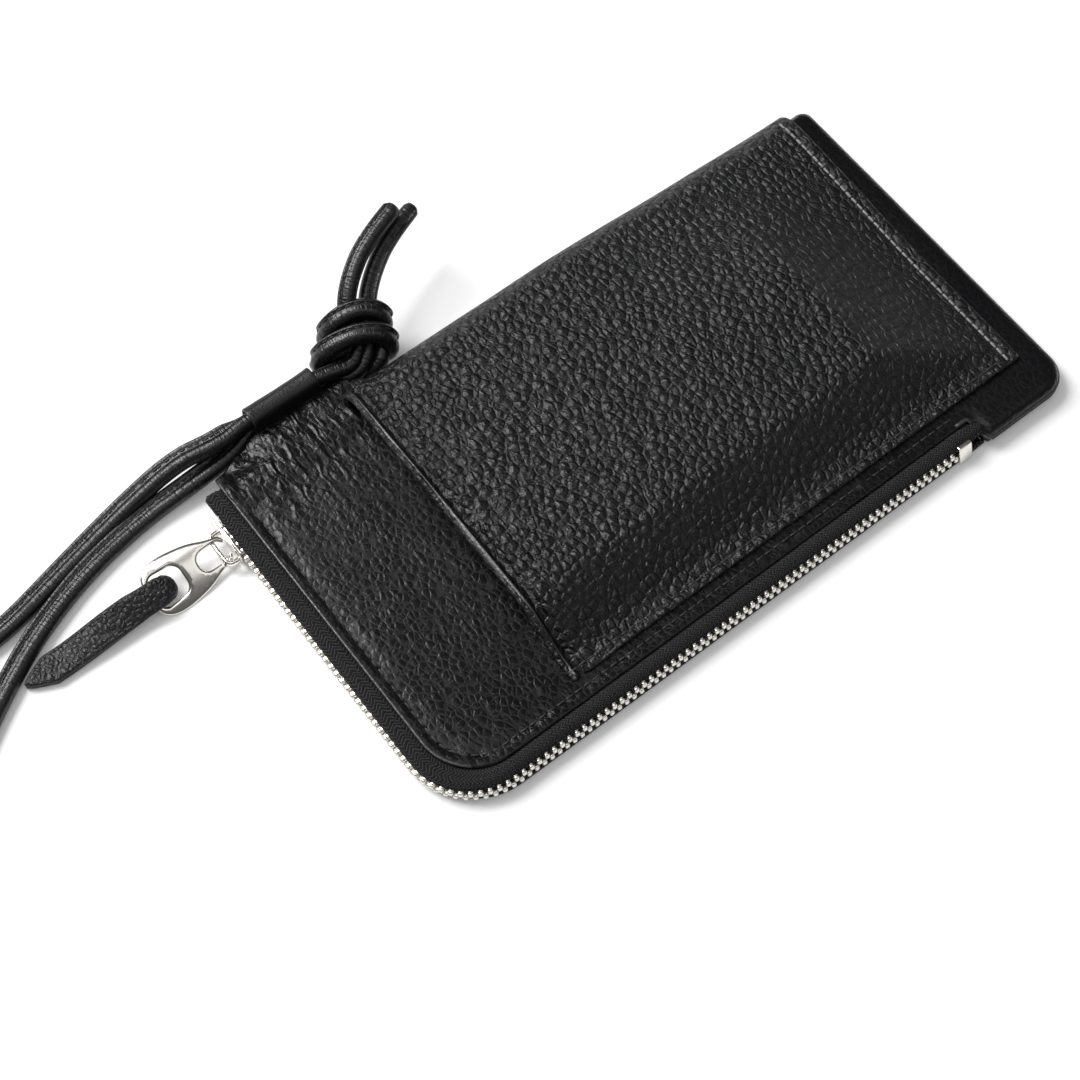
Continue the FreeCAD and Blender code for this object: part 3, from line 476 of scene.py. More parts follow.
pores = add_node(nodes, "TexNoise", Scale=1.0, Detail=3.0)
patch = add_node(nodes, "TexNoise", Scale=0.035, Detail=2.0)
dome = map_range(nodes, 0.0, 0.75, 0.78, 0.0, smooth=True)
valley = map_range(nodes, 0.0, 0.2, -0.35, 0.0, smooth=True)
small_dome = map_range(nodes, 0.0, 0.75, 0.22, 0.0, smooth=True)
pore_low = math_node(nodes, "MULTIPLY_ADD", 0.56)
first_sum = math_node(nodes, "ADD")
whole_sum = math_node(nodes, "ADD")
crease = map_range(nodes, 0.0, 0.11, 1.0, 0.0, smooth=True)
wire(link,
     (place, "Object", lay, "Vector"),
     (lay, "Vector", grow, 0),
     (entry, "Cells per metre", grow, "Scale"),
     (grow, "Vector", wave, "Vector"),
     (wave, "Color", centre, 0),
     (centre, "Vector", push, 0),
     (entry, "Waviness", push, "Scale"),
     (grow, "Vector", bend, 0),
     (push, "Vector", bend, 1),
     (bend, "Vector", cells, "Vector"),
     (bend, "Vector", pebble, "Vector"),
     (bend, "Vector", small, "Vector"),
     (grow, "Vector", slant, "Vector"),
     (slant, "Vector", thin, "Vector"),
     (thin, "Vector", pores, "Vector"),
     (grow, "Vector", patch, "Vector"))
wire(link,
     (pebble, "Distance", dome, "Value"),
     (small, "Distance", small_dome, "Value"),
     (cells, "Distance", valley, "Value"),
     (cells, "Distance", crease, "Value"),
     (pores, "Fac", pore_low, 0),
     (valley, "Result", pore_low, 2),
     (dome, "Result", first_sum, 0),
     (small_dome, "Result", first_sum, 1),
     (first_sum, 0, whole_sum, 0),
     (pore_low, 0, whole_sum, 1),
     (whole_sum, 0, leave, "Height"),
     (crease, "Result", leave, "Crease"),
     (patch, "Fac", leave, "Patch"))
print("grain group with", len(nodes), "nodes")

# %% [markdown]
# Bent edges of leather catch the light as a paler line, so that highlight is painted into the colour there. It
# could be painted by hand, but Pointiness finds such edges by itself, and a little noise breaks the line up.

# %% Painted edge highlight group
edge_highlight_group, nodes, link, entry, leave = new_group("painted_highlight_on_edges", {"Start": 0.53, "End": 0.62}, ["Painted_highlight"])
shape = add_node(nodes, "NewGeometry")
place = add_node(nodes, "TexCoord")
spots = add_node(nodes, "TexNoise", Scale=260.0)
ridge = map_range(nodes, 0.53, 0.62)
broken = map_range(nodes, 0.3, 0.65)
both = math_node(nodes, "MULTIPLY")
both.use_clamp = True
wire(link,
     (place, "Object", spots, "Vector"),
     (shape, "Pointiness", ridge, "Value"),
     (entry, "Start", ridge, "From Min"),
     (entry, "End", ridge, "From Max"),
     (spots, "Fac", broken, "Value"),
     (ridge, "Result", both, 0),
     (broken, "Result", both, 1),
     (both, 0, leave, "Painted_highlight"))
print("painted edge highlight group ready")

# %% [markdown]
# The leathers differ in the size and depth of their grain and in their gloss, so one function makes them all.
# The panel's leather also has long crinkles where the sleeve pulls at it. They are a ridged noise that is
# strong at the sleeve's root and fades away from it.

# %% Leather finishes
BLACK = (0.0028, 0.0029, 0.0036)
CREASE_SHADE_BLACK = (0.0016, 0.0016, 0.0018)
EDGE_HIGHLIGHT_GREY = (0.035, 0.035, 0.036)
EDGE_PAINT_AND_HIGHLIGHT_GREY = (0.03, 0.03, 0.031)
CREASE_DULL = 0.18
PULLED_SPOT = (-0.066, 0.05, 0.007)
PULLED_NEAR, PULLED_FAR = 0.006, 0.027


def use_group(nodes, group, **values):
    node = add_node(nodes, "Group")
    node.node_tree = group
    return set_inputs(node, values)


def color_mix(nodes, first, second):
    node = nodes.new("ShaderNodeMix")
    node.data_type = "RGBA"
    node.inputs["A"].default_value = (*first, 1)
    node.inputs["B"].default_value = (*second, 1)
    return node


def crinkled(nodes, link, grain, near, far):
    """The grain's height with crinkles on it, by their strength near the pulled spot and far from it."""
    coord = add_node(nodes, "TexCoord")
    slant = (0.0, 0.0, math.radians(-14.0))
    stretch = add_node(nodes, "Mapping", Rotation=slant, Scale=(480.0, 210.0, 480.0))
    folds = add_node(nodes, "TexNoise", Scale=1.0, Detail=3.0, Distortion=0.5)
    folds.noise_type = "RIDGED_MULTIFRACTAL"
    away = math_node(nodes, "DISTANCE", PULLED_SPOT, "VectorMath")
    strength = map_range(nodes, PULLED_NEAR, PULLED_FAR, near, far, smooth=True)
    height = math_node(nodes, "MULTIPLY_ADD")
    wire(link,
         (coord, "Object", stretch, "Vector"),
         (stretch, "Vector", folds, "Vector"),
         (coord, "Object", away, 0),
         (away, "Value", strength, "Value"),
         (folds, "Fac", height, 0),
         (strength, "Result", height, 1),
         (grain, "Height", height, 2))
    return height


def leather(name, cells, relief, rough, shine=0.42, color=BLACK, crease_shade_color=CREASE_SHADE_BLACK, crinkle=None):
    """Leather with pebbled relief, painted shade in its creases, a painted highlight on its bent edges, uneven
    gloss and, where asked, crinkles.
    """
    material, nodes, link = new_material(name)
    grain = use_group(nodes, grain_group, Cells_per_metre=cells)
    edge_highlight_mask = use_group(nodes, edge_highlight_group)
    # Painted shade: the grain's creases are coloured darker than the rest of the leather.
    painted_crease_shade = color_mix(nodes, color, crease_shade_color)
    # Painted highlight: bent edges are coloured paler.
    highlighted_color = color_mix(nodes, color, EDGE_HIGHLIGHT_GREY)
    gloss = map_range(nodes, 0.3, 0.7, rough - 0.06, rough + 0.08)
    duller = math_node(nodes, "MULTIPLY_ADD", CREASE_DULL)
    bump = add_node(nodes, "Bump", Strength=1.0, Distance=relief)
    skin = add_node(nodes, "BsdfPrincipled", Specular_IOR_Level=shine)
    out = add_node(nodes, "OutputMaterial")
    height = (crinkled(nodes, link, grain, *crinkle), 0) if crinkle else (grain, "Height")
    wire(link,
         (grain, "Crease", painted_crease_shade, "Factor"),
         (painted_crease_shade, "Result", highlighted_color, "A"),
         (edge_highlight_mask, "Painted_highlight", highlighted_color, "Factor"),
         (highlighted_color, "Result", skin, "Base Color"),
         (grain, "Patch", gloss, "Value"),
         (grain, "Crease", duller, 0),
         (gloss, "Result", duller, 2),
         (duller, 0, skin, "Roughness"),
         (*height, bump, "Height"),
         (bump, "Normal", skin, "Normal"),
         (skin, "BSDF", out, "Surface"))
    return material


pebbled = leather("pebbled_leather", 470.0, 0.00043, 0.32, shine=0.4)
panel_skin = leather("panel_leather", 600.0, 0.00006, 0.25, shine=0.25, crinkle=(9.5, 1.7))
fine_skin = leather("fine_leather", 800.0, 0.0002, 0.34)
smooth_skin = leather("smooth_leather", 1400.0, 0.00003, 0.36)
# Painted highlight: the edge material's grey is partly edge paint and partly stands for the light its edges
# catch.
edge_paint_and_highlight = leather("edge_paint_and_highlight", 900.0, 0.00004, 0.36, shine=0.6, color=EDGE_PAINT_AND_HIGHLIGHT_GREY, crease_shade_color=BLACK)
print("leathers:", pebbled.name, panel_skin.name, fine_skin.name, smooth_skin.name, edge_paint_and_highlight.name)

# %% [markdown]
# The cord's leather is stretched round its core. It shows tiny creases across the cord where it bends, so its
# bump runs along the cord by the UVs that the sweep writes: millimetres along and a share of the way round.

# %% Cord leather
def sweep_place(nodes):
    """The UVs that a swept piece carries."""
    node = add_node(nodes, "UVMap")
    node.uv_map = UV_NAME
    return node


cord_skin, nodes, link = new_material("cord_leather")
place = sweep_place(nodes)
lay = add_node(nodes, "Mapping", Scale=(1.5, 2.2, 1.0))
folds = add_node(nodes, "TexNoise", Scale=1.0, Detail=4.0, Distortion=0.6)
grain = use_group(nodes, grain_group, Cells_per_metre=1300.0)
quiet = math_node(nodes, "MULTIPLY", 0.12)
relief_sum = math_node(nodes, "ADD")
bump = add_node(nodes, "Bump", Strength=1.0, Distance=0.00024)
gloss = map_range(nodes, 0.3, 0.7, 0.26, 0.38)
edge_highlight_mask = use_group(nodes, edge_highlight_group)
# Painted highlight: the cord's bent edges are coloured paler, as on the panels.
highlighted_color = color_mix(nodes, BLACK, EDGE_HIGHLIGHT_GREY)
skin = add_node(nodes, "BsdfPrincipled", Specular_IOR_Level=0.45)
out = add_node(nodes, "OutputMaterial")
wire(link,
     (place, "UV", lay, "Vector"),
     (lay, "Vector", folds, "Vector"),
     (grain, "Height", quiet, 0),
     (folds, "Fac", relief_sum, 0),
     (quiet, 0, relief_sum, 1),
     (relief_sum, 0, bump, "Height"),
     (folds, "Fac", gloss, "Value"),
     (edge_highlight_mask, "Painted_highlight", highlighted_color, "Factor"),
     (highlighted_color, "Result", skin, "Base Color"),
     (gloss, "Result", skin, "Roughness"),
     (bump, "Normal", skin, "Normal"),
     (skin, "BSDF", out, "Surface"))
print("cord leather ready")

# %% [markdown]
# The zip tape is woven as a herringbone: columns of slanted yarns that turn back at each column. A wave over
# the tape's own UVs, folded at every column, gives that zigzag, and noise makes it uneven. The same height
# colours the raised yarns lighter and the hollows darker, a painted sheen and painted shade.

# %% Zip tape
tape_cloth, nodes, link = new_material("zip_tape_weave")
place = sweep_place(nodes)
split = add_node(nodes, "SeparateXYZ")
columns = math_node(nodes, "PINGPONG", 1.2)
slanted = math_node(nodes, "ADD")
coord = add_node(nodes, "TexCoord")
sway = add_node(nodes, "TexNoise", Scale=620.0)
swayed = math_node(nodes, "MULTIPLY_ADD", 1.3)
turns = math_node(nodes, "MULTIPLY", 6.6)
yarn = math_node(nodes, "SINE")
high = map_range(nodes, -0.5, 1.0, smooth=True)
fuzz = add_node(nodes, "TexNoise", Scale=2600.0)
rough_sum = math_node(nodes, "MULTIPLY_ADD", 0.5)
# Painted sheen and shade: the colour follows the yarn height, lighter on top and darker between.
yarn_sheen_share = map_range(nodes, 0.55, 1.35)
yarn_sheen_color = color_mix(nodes, (0.003, 0.003, 0.0034), (0.03, 0.029, 0.032))
bump = add_node(nodes, "Bump", Strength=1.0, Distance=0.00022)
cloth = add_node(nodes, "BsdfPrincipled", Roughness=0.75, Specular_IOR_Level=0.2, Sheen_Weight=0.04)
out = add_node(nodes, "OutputMaterial")
wire(link,
     (place, "UV", split, 0),
     (split, "Y", columns, 0),
     (split, "X", slanted, 0),
     (columns, 0, slanted, 1),
     (coord, "Object", sway, "Vector"),
     (coord, "Object", fuzz, "Vector"),
     (sway, "Fac", swayed, 0),
     (slanted, 0, swayed, 2),
     (swayed, 0, turns, 0),
     (turns, 0, yarn, 0),
     (yarn, 0, high, "Value"),
     (fuzz, "Fac", rough_sum, 0),
     (high, "Result", rough_sum, 2),
     (rough_sum, 0, yarn_sheen_share, "Value"),
     (yarn_sheen_share, "Result", yarn_sheen_color, "Factor"),
     (yarn_sheen_color, "Result", cloth, "Base Color"),
     (rough_sum, 0, bump, "Height"),
     (bump, "Normal", cloth, "Normal"),
     (cloth, "BSDF", out, "Surface"))
print("zip tape cloth ready")

# %% [markdown]
# Thread is twisted, so it is mottled and a little fuzzy. The zip's metal is polished nickel on the slider,
# the puller and the stops, and duller on the teeth. Faint smudges keep it from looking like a mirror.

# %% Thread and metal
def thread_finish(name, dark, pale):
    """Twisted thread: mottled bands and a soft sheen."""
    material, nodes, link = new_material(name)
    coord = add_node(nodes, "TexCoord")
    twist = add_node(nodes, "TexNoise", Scale=2600.0, Detail=2.0)
    shade = color_mix(nodes, dark, pale)
    bump = add_node(nodes, "Bump", Distance=0.0001)
    fibre = add_node(nodes, "BsdfPrincipled", Roughness=0.5, Sheen_Weight=0.2)
    out = add_node(nodes, "OutputMaterial")
    wire(link,
         (coord, "Object", twist, "Vector"),
         (twist, "Fac", shade, "Factor"),
         (twist, "Fac", bump, "Height"),
         (shade, "Result", fibre, "Base Color"),
         (bump, "Normal", fibre, "Normal"),
         (fibre, "BSDF", out, "Surface"))
    return material


def nickel_finish(name, smooth, dull):
    """Nickel with faint smudges; smooth and dull are its lowest and highest roughness."""
    material, nodes, link = new_material(name)
    coord = add_node(nodes, "TexCoord")
    smudge = add_node(nodes, "TexNoise", Scale=90.0, Detail=3.0)
    tint = color_mix(nodes, (0.70, 0.675, 0.625), (0.78, 0.755, 0.705))
    gloss = map_range(nodes, 0.3, 0.75, smooth, dull)
    metal = add_node(nodes, "BsdfPrincipled", Metallic=1.0)
    out = add_node(nodes, "OutputMaterial")
    wire(link,
         (coord, "Object", smudge, "Vector"),
         (smudge, "Fac", tint, "Factor"),
         (smudge, "Fac", gloss, "Value"),
         (tint, "Result", metal, "Base Color"),
         (gloss, "Result", metal, "Roughness"),
         (metal, "BSDF", out, "Surface"))
    return material


black_thread = thread_finish("black_thread", (0.002, 0.002, 0.0024), (0.013, 0.013, 0.0145))
# Painted highlight: a lighter grey copy of the black thread, for the seam that catches the light.
painted_highlight_thread = thread_finish("painted_highlight_thread", (0.07, 0.07, 0.073), (0.3, 0.3, 0.305))
nickel = nickel_finish("polished_nickel", 0.12, 0.18)
tooth_nickel = nickel_finish("tumbled_nickel", 0.3, 0.4)
print("threads and metal:", black_thread.name, painted_highlight_thread.name, nickel.name, tooth_nickel.name)

# %% [markdown]
# ## The strap
# The strap is a sewn leather cord: a round core with a narrow welt along one side that carries the stitches.
# One cord leaves the sleeve, makes the long loop and comes back to it. What lies past the left edge of the
# photo is put away in a flat coil, so the route has the coil's turns as more of its own points.

# %% Strap route
STRAND_HIGH, STRAND_LOW = 8.85, 4.75
SLEEVE_MOUTH, SLEEVE_END, SLEEVE_Y = -71.0, -53.0, 58.1
route_out = [
    (-36.0, 64.3, 10.3), (-37.6, 61.0, 9.5), (-40.0, 57.9, 8.6), (-43.3, 55.9, 7.8), (-47.9, 57.0, 8.4),
    (-54, SLEEVE_Y, STRAND_HIGH), (-62, SLEEVE_Y, STRAND_HIGH),
    (-72, SLEEVE_Y, STRAND_HIGH), (-80.8, 57.9, 8.7), (-90.5, 60.4, 7.2), (-106.5, 59.5, 3.2),
    (-125.5, 55.4, 2.0), (-144.7, 50.4, 2.0), (-162.5, 50.2, 2.0), (-179.5, 51.8, 2.1), (-196, 54.75, 2.5),
    (-207, 54.75, 2.5),
]
route_back = [
    (-207, -7.25, 7.0), (-199, -7.25, 7.0), (-191, -4.6, 6.0), (-183.8, 1.2, 4.2), (-178.6, 9.2, 2.6),
    (-175.3, 17.6, 2.0), (-170, 25.4, 2.0), (-161, 32.2, 2.0), (-150, 39.3, 2.0), (-138.3, 45.7, 2.0),
    (-121.9, 51.9, 2.0), (-104, 55.2, 2.0), (-91, 55.3, 3.2), (-82, 55.4, 4.2), (-76.5, 56.5, 4.6),
    (-70, SLEEVE_Y, STRAND_LOW), (-62, SLEEVE_Y, STRAND_LOW), (-54, SLEEVE_Y, STRAND_LOW),
    (-47.5, 55.9, 5.0), (-42.0, 54.4, 5.9), (-38.2, 56.4, 7.9), (-35.5, 59.8, 8.8), (-33.6, 62.9, 9.3),
]
COIL_PITCH = 4.5
COIL_OUTER = 28.75
COIL_HALF_TURNS = 7
TURN_POINTS = 8


def coil_points(start):
    """Control points of half turns that spiral in, climb one layer and spiral out again."""
    x, y, low = start
    step = math.pi / TURN_POINTS
    radii = [COIL_OUTER - COIL_PITCH / 2 * k for k in range(COIL_HALF_TURNS + 1)]
    radii += radii[-2::-1]
    points = []
    way = -1
    for number, radius in enumerate(radii):
        centre_y = y + way * radius
        for k in range(TURN_POINTS):
            turn = (k + 0.5) * step
            reach = radius / math.cos(step / 2)
            climb = turn / math.pi if number == COIL_HALF_TURNS else float(number > COIL_HALF_TURNS)
            points.append((x + way * reach * math.sin(turn), centre_y - way * reach * math.cos(turn),
                           low + COIL_PITCH * smooth_step(climb)))
        y += 2 * way * radius
        way = -way
    return points


strap_route = to_metres(route_out + coil_points(route_out[-1]) + route_back)
strap_line = spline_points(strap_route, 12)
strap_along = distances(strap_line)
strap_length = strap_along[-1]
outside = [s for s, spot in zip(strap_along, strap_line) if spot.x < (SLEEVE_MOUTH - 1) * MM]
hidden_out, hidden_back = outside[0], outside[-1]
print("strap", len(strap_route), "route points,", round(strap_length, 3), "m long")

# %% [markdown]
# The section has a round core and the welt, and it is swept along the route. The welt is hidden inside the
# sleeve, stands at the outer side where it is seen, and is flattened and turned in the coil, so that the
# turns lie close.

# %% Strap section and sweep
CORE_RADIUS = 1.9
CORE_POINTS = 15
CORE_SHIFT = 0.45
WELT_REACH = 3.1
WELT_HALF = 0.62
WELT_ROUND = 0.15
WELT_OPENS = 0.006
WELT_ANGLE, TURN_IN_COIL, TURN_OUT_OF_COIL = 160, 70, 65
COIL_FLATTENS = 0.8
SEEN_LENGTH = 0.190
COIL_LEAD = 0.045


def cord_section(welt, angle, scale=1.0):
    """Round core with a welt on one side, turned by an angle; welt is 0 for none and 1 for full width."""
    reach = CORE_RADIUS + (WELT_REACH - CORE_RADIUS) * welt
    shift = -CORE_SHIFT * welt
    half = WELT_HALF
    root = math.asin(half / CORE_RADIUS)
    points = []
    for k in range(CORE_POINTS):
        a = root + (2 * math.pi - 2 * root) * k / (CORE_POINTS - 1)
        points.append((shift + CORE_RADIUS * math.cos(a), CORE_RADIUS * math.sin(a)))
    dip = shift + CORE_RADIUS * math.cos(root)
    edge = max(reach, dip + 0.05)
    rounded_edge = edge - WELT_ROUND * welt
    middle = dip + (edge - dip) * 0.5
    points += [(middle, -half), (rounded_edge, -half), (edge, -half * 0.4),
               (edge, half * 0.4), (rounded_edge, half), (middle, half)]
    c, s = math.cos(angle), math.sin(angle)
    return [((p * c - q * s) * MM * scale, (p * s + q * c) * MM * scale) for p, q in points]


def strap_welt(s):
    """Welt width and angle along the strap: hidden in the sleeve, at the outer side where it is seen."""
    open_out = smooth_step((s - hidden_out) / WELT_OPENS)
    open_back = smooth_step((hidden_back - s) / WELT_OPENS)
    coil_in = smooth_step((s - SEEN_LENGTH + COIL_LEAD) / COIL_LEAD)
    coil_out = smooth_step((strap_length - SEEN_LENGTH + COIL_LEAD - s) / COIL_LEAD)
    welt = min(open_out, open_back) * (1 - COIL_FLATTENS * min(coil_in, coil_out))
    angle = WELT_ANGLE - TURN_IN_COIL * coil_in - TURN_OUT_OF_COIL * (1 - coil_out)
    return welt, math.radians(angle)


strap_shape = sweep(strap_line, lambda s: cord_section(*strap_welt(s)))
strap = piece("strap", strap_shape, "pouch", "cord_leather", cord_skin,
              "sleeve_strands", "strap_upper_run", "strap_lower_run", "strap_coil")

# %% [markdown]
# The stitches sit in the groove between core and welt, on both faces. They are real little solids on the
# stretches that show, so the row of thread catches the light the way it does on the real cord.

# %% Strap stitches
STITCH_STEP = 1.9
STITCH_OUT, STITCH_ASIDE = CORE_RADIUS - 0.05, WELT_HALF - 0.02


def welt_stitches(points, welt_at, first, last, scale=1.0, up=UP):
    """Places for stitches along the root of the welt, on its two faces."""
    frames = moving_frames(points, up)
    along = distances(points)
    places = []
    target = first
    for i in range(1, len(points)):
        if along[i] < target or along[i] > last:
            continue
        target += STITCH_STEP * MM
        angle = welt_at(along[i])[1]
        tangent, side, top = frames[i]
        out = side * math.cos(angle) + top * math.sin(angle)
        face = top * math.cos(angle) - side * math.sin(angle)
        for sign in (1, -1):
            centre = points[i] + (out * STITCH_OUT + face * (sign * STITCH_ASIDE)) * MM * scale
            places.append((centre, tangent, face * sign))
    return places


strap_places = welt_stitches(strap_line, strap_welt, hidden_out + WELT_OPENS, SEEN_LENGTH)
strap_places += welt_stitches(strap_line, strap_welt, strap_length - SEEN_LENGTH, hidden_back - WELT_OPENS)
strap_thread = stitch_piece("strap_stitches", strap_places, 1.35, 0.36, black_thread)

# %% [markdown]
# ## Tails and knot
# Past the sleeve both strands go into an overhand knot and end in two cut tails that stand up off the table.
# Each tail is its own short sweep, a little thinner than the strap and narrowed at the cut.

# %% Tails
TAIL_SCALE, TAIL_WELT = 0.95, 0.6
CUT_NARROWS = 0.18
left_route = [
    (-39.1, 61.8, 10.9), (-37.8, 65.3, 13.9), (-32.9, 70.0, 17.9), (-24.5, 74.8, 20.9), (-14.0, 77.8, 21.9),
]
right_route = [
    (-34.9, 60.5, 8.6), (-33.2, 64.4, 11.6), (-27.6, 69.5, 15.0), (-18.7, 74.7, 17.0), (-9.0, 77.8, 17.4),
]


def cord_tail(name, cad_node, welt_angle, route):
    """One cut tail, swept as a cord of its own; gives back the places for its stitches."""
    line = spline_points(to_metres(route), 14)
    length = distances(line)[-1]

    def welt_at(s):
        return TAIL_WELT * smooth_step((length - s) / 0.0012), math.radians(welt_angle)

    def section_at(s):
        narrow = CUT_NARROWS * (1 - smooth_step((length - s) / 0.0014))
        return cord_section(*welt_at(s), scale=TAIL_SCALE - narrow)

    tail = piece(name, sweep(line, section_at), "pouch", "cord_leather", cord_skin, cad_node)
    return welt_stitches(line, welt_at, 0.005, length - 0.002, TAIL_SCALE)


tail_places = cord_tail("left_tail", "tail_left", 25, left_route)
tail_places += cord_tail("right_tail", "tail_right", 165, right_route)
stitch_piece("tail_stitches", tail_places, 1.3, 0.32, black_thread)

# %% [markdown]
# The knot is two turns of the same cord round the strands, with the loop that leads into them below. A solid
# lump could stand for it, but the turns cast shadows on each other, so each strand is swept by itself. Their
# points are written as the photo shows them: right, up and nearer.

# %% Knot
KNOT_CENTRE = Vector((-38.7, 60.9, 8.4))
KNOT_WELT = (0.5, math.radians(118))
NO_WELT = (0.0, 0.0)
TURN_SCALE, LOOP_SCALE, CORE_SCALE = 1.12, 0.95, 1.5
view_right = Vector((math.cos(VIEW_AZIMUTH), math.sin(VIEW_AZIMUTH), 0))
view_up = towards_camera.cross(view_right)
knot_turns = [
    (-3.0, -8.2, -2.8), (-7.4, -7.4, -1.6), (-9.2, -5.4, 1.2), (-6.6, -2.9, 4.4), (-1.9, -0.3, 5.8),
    (2.8, 1.2, 5.6), (7.0, 1.0, 4.2), (9.0, -1.3, 0.8), (7.0, -3.0, -3.4), (1.0, -2.8, -4.6),
    (-5.0, -1.4, -3.6), (-7.8, 0.0, -0.6), (-6.6, 1.8, 2.6), (-3.0, 5.0, 4.6), (1.6, 6.9, 4.6),
    (5.8, 6.4, 3.2), (7.4, 4.0, 0.0), (5.4, 2.4, -2.8), (0.6, 2.2, -3.0),
]
knot_loop = [(6.2, 1.0, -0.4), (6.5, -2.2, 0.6), (6.2, -5.2, 0.6), (3.6, -7.8, -1.4), (-1.6, -8.4, -2.6)]
knot_core = [(-9.2, -7.2, -2.6), (-6.8, -5.2, -1.4), (-3.0, -2.4, 0.2), (2.5, 1.0, 0.4), (5.5, 2.6, 0.0)]


def knot_place(right, up, depth):
    """A place in the knot, in millimetres right, up and nearer as the photo shows it."""
    return (KNOT_CENTRE + view_right * right + view_up * up + towards_camera * depth) * MM


def knot_strand(spots, welt, scale, up=UP):
    """The line of one strand of the knot and its swept shape."""
    line = spline_points([knot_place(*spot) for spot in spots], 10)
    return line, sweep(line, lambda s: cord_section(*welt, scale=scale), moving_frames(line, up))


turn_line, turn_shape = knot_strand(knot_turns, KNOT_WELT, TURN_SCALE, view_up)
loop_shape = knot_strand(knot_loop, NO_WELT, LOOP_SCALE)[1]
core_shape = knot_strand(knot_core, NO_WELT, CORE_SCALE)[1]
knot_shape = joined([turn_shape, loop_shape, core_shape])
piece("wound_knot", knot_shape, "pouch", "cord_leather", cord_skin, "strap_knot")
turn_length = distances(turn_line)[-1]
knot_places = welt_stitches(turn_line, lambda s: KNOT_WELT, 0.006, turn_length - 0.004, TURN_SCALE, view_up)
stitch_piece("knot_stitches", knot_places, 1.3, 0.32, black_thread)

# %% [markdown]
# ## The coil's tie
# A flat woven band holds the put-away turns together on their far side. It is a rounded loop round the CAD
# tie's box, made thick like the leather sheets, so it stays where the solid is.

# %% Tie
TIE_ROUND = 1.6 * MM
TIE_THICK = 0.42 * MM
TIE_ACROSS, TIE_CORNER_POINTS = 8, 7
tie_low, tie_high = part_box("coil_tie")
tie_middle_y = (tie_low.y + tie_high.y) / 2
tie_half = (tie_high.y - tie_low.y) / 2
tie_corners = ((tie_high.x, tie_high.z, 0), (tie_low.x, tie_high.z, 90), (tie_low.x, tie_low.z, 180),
               (tie_high.x, tie_low.z, 270))
tie_loop = []
for cx, cz, start in tie_corners:
    inset_x = TIE_ROUND if cx == tie_low.x else -TIE_ROUND
    inset_z = TIE_ROUND if cz == tie_low.z else -TIE_ROUND
    for k in range(TIE_CORNER_POINTS):
        a = math.radians(start + 15 * k)
        tie_loop.append((cx + inset_x + TIE_ROUND * math.cos(a), cz + inset_z + TIE_ROUND * math.sin(a)))
tie_verts = []
for k in range(TIE_ACROSS + 1):
    share = -1 + 2 * k / TIE_ACROSS
    tie_verts += [Vector((x, tie_middle_y + tie_half * share, z)) for x, z in tie_loop]
tie_faces = grid_quads(TIE_ACROSS + 1, len(tie_loop), True, OUTER_FIRST)
tie_shape = thick_sheet(tie_verts, tie_faces, TIE_THICK)
tie = piece("tie_band", tie_shape, "pouch", "tie_band", black_thread, "coil_tie")

# %% [markdown]
# The strap, its stitches and the tie belong to one free cord, which leaves the sleeve and comes back to it.
# Its length is printed here.

print("strap declared,", round(strap_length, 3), "m")

# %% [markdown]
# ## The pouch's shell
# Front, fold and back are one piece of leather. A box with rounded edges would look like a block, so the
# sheet is cut flat here as a pattern, the way a maker does it. The next cells fill it with small triangles
# and wrap it.

# %% Shell pattern
FRONT_Z, FOLD_Y, FOLD_RADIUS = 6.8, 44.9, 3.4
OPENING_X, BOTTOM_X, ZIP_Y, SEAM_Y = -85.4, 91.1, -43.2, -49.5
STEP_X, STEP_RUN = 62.5, 2.8
ZIP_CORNER, BOTTOM_CORNER = 13.5, 7.0
FOLD_LENGTH = math.pi * FOLD_RADIUS


def back_v(y):
    return FOLD_Y + FOLD_LENGTH + (FOLD_Y - y)


def corner_arc(cx, cy, radius, start, end, steps):
    angles = [math.radians(start + (end - start) * k / steps) for k in range(steps + 1)]
    return [(cx + radius * math.cos(a), cy + radius * math.sin(a)) for a in angles]


front_zip = corner_arc(OPENING_X + ZIP_CORNER, ZIP_Y + ZIP_CORNER, ZIP_CORNER, 180, 270, 18)
front_zip += [(STEP_X, ZIP_Y)]
front_seam = [(STEP_X + STEP_RUN * k / 8, ZIP_Y + (SEAM_Y - ZIP_Y) * smooth_step(k / 8)) for k in range(1, 9)]
front_seam += corner_arc(BOTTOM_X - BOTTOM_CORNER, SEAM_Y + BOTTOM_CORNER, BOTTOM_CORNER, 270, 360, 10)
pattern_right = front_seam + [(x, back_v(y)) for x, y in reversed(front_seam)]
pattern_left = [(x, back_v(y)) for x, y in reversed(front_zip)]
pattern = front_zip + pattern_right + pattern_left
sewn_line = pattern_right[2:-2]
zip_lines = [[(OPENING_X, back_v(ZIP_Y + ZIP_CORNER))] + front_zip,
             [(OPENING_X, ZIP_Y + ZIP_CORNER)] + pattern_left[::-1]]
print("shell pattern with", len(pattern), "corner points")

# %% [markdown]
# The fill needs small triangles at the edge, where the leather will roll, and can be coarser inside. Rows of
# points follow the edge, a staggered grid takes the middle, and a Delaunay fill joins them.

# %% Filling a pattern
EDGE_STEP, GRID_STEP = 1.3, 2.0
EDGE_ROWS = (0.1, 0.35, 0.75, 1.3, 2.0, 2.8)
EDGE_CLEAR, GRID_CLEAR = 0.06, 3.6


def dense(line, step, closed):
    """The same line with points at most one step apart."""
    points = []
    for (ax, ay), (bx, by) in zip(line, line[1:] + (line[:1] if closed else [])):
        count = max(1, math.ceil(math.hypot(bx - ax, by - ay) / step))
        points += [(ax + (bx - ax) * k / count, ay + (by - ay) * k / count) for k in range(count)]
    return points if closed else points + [line[-1]]


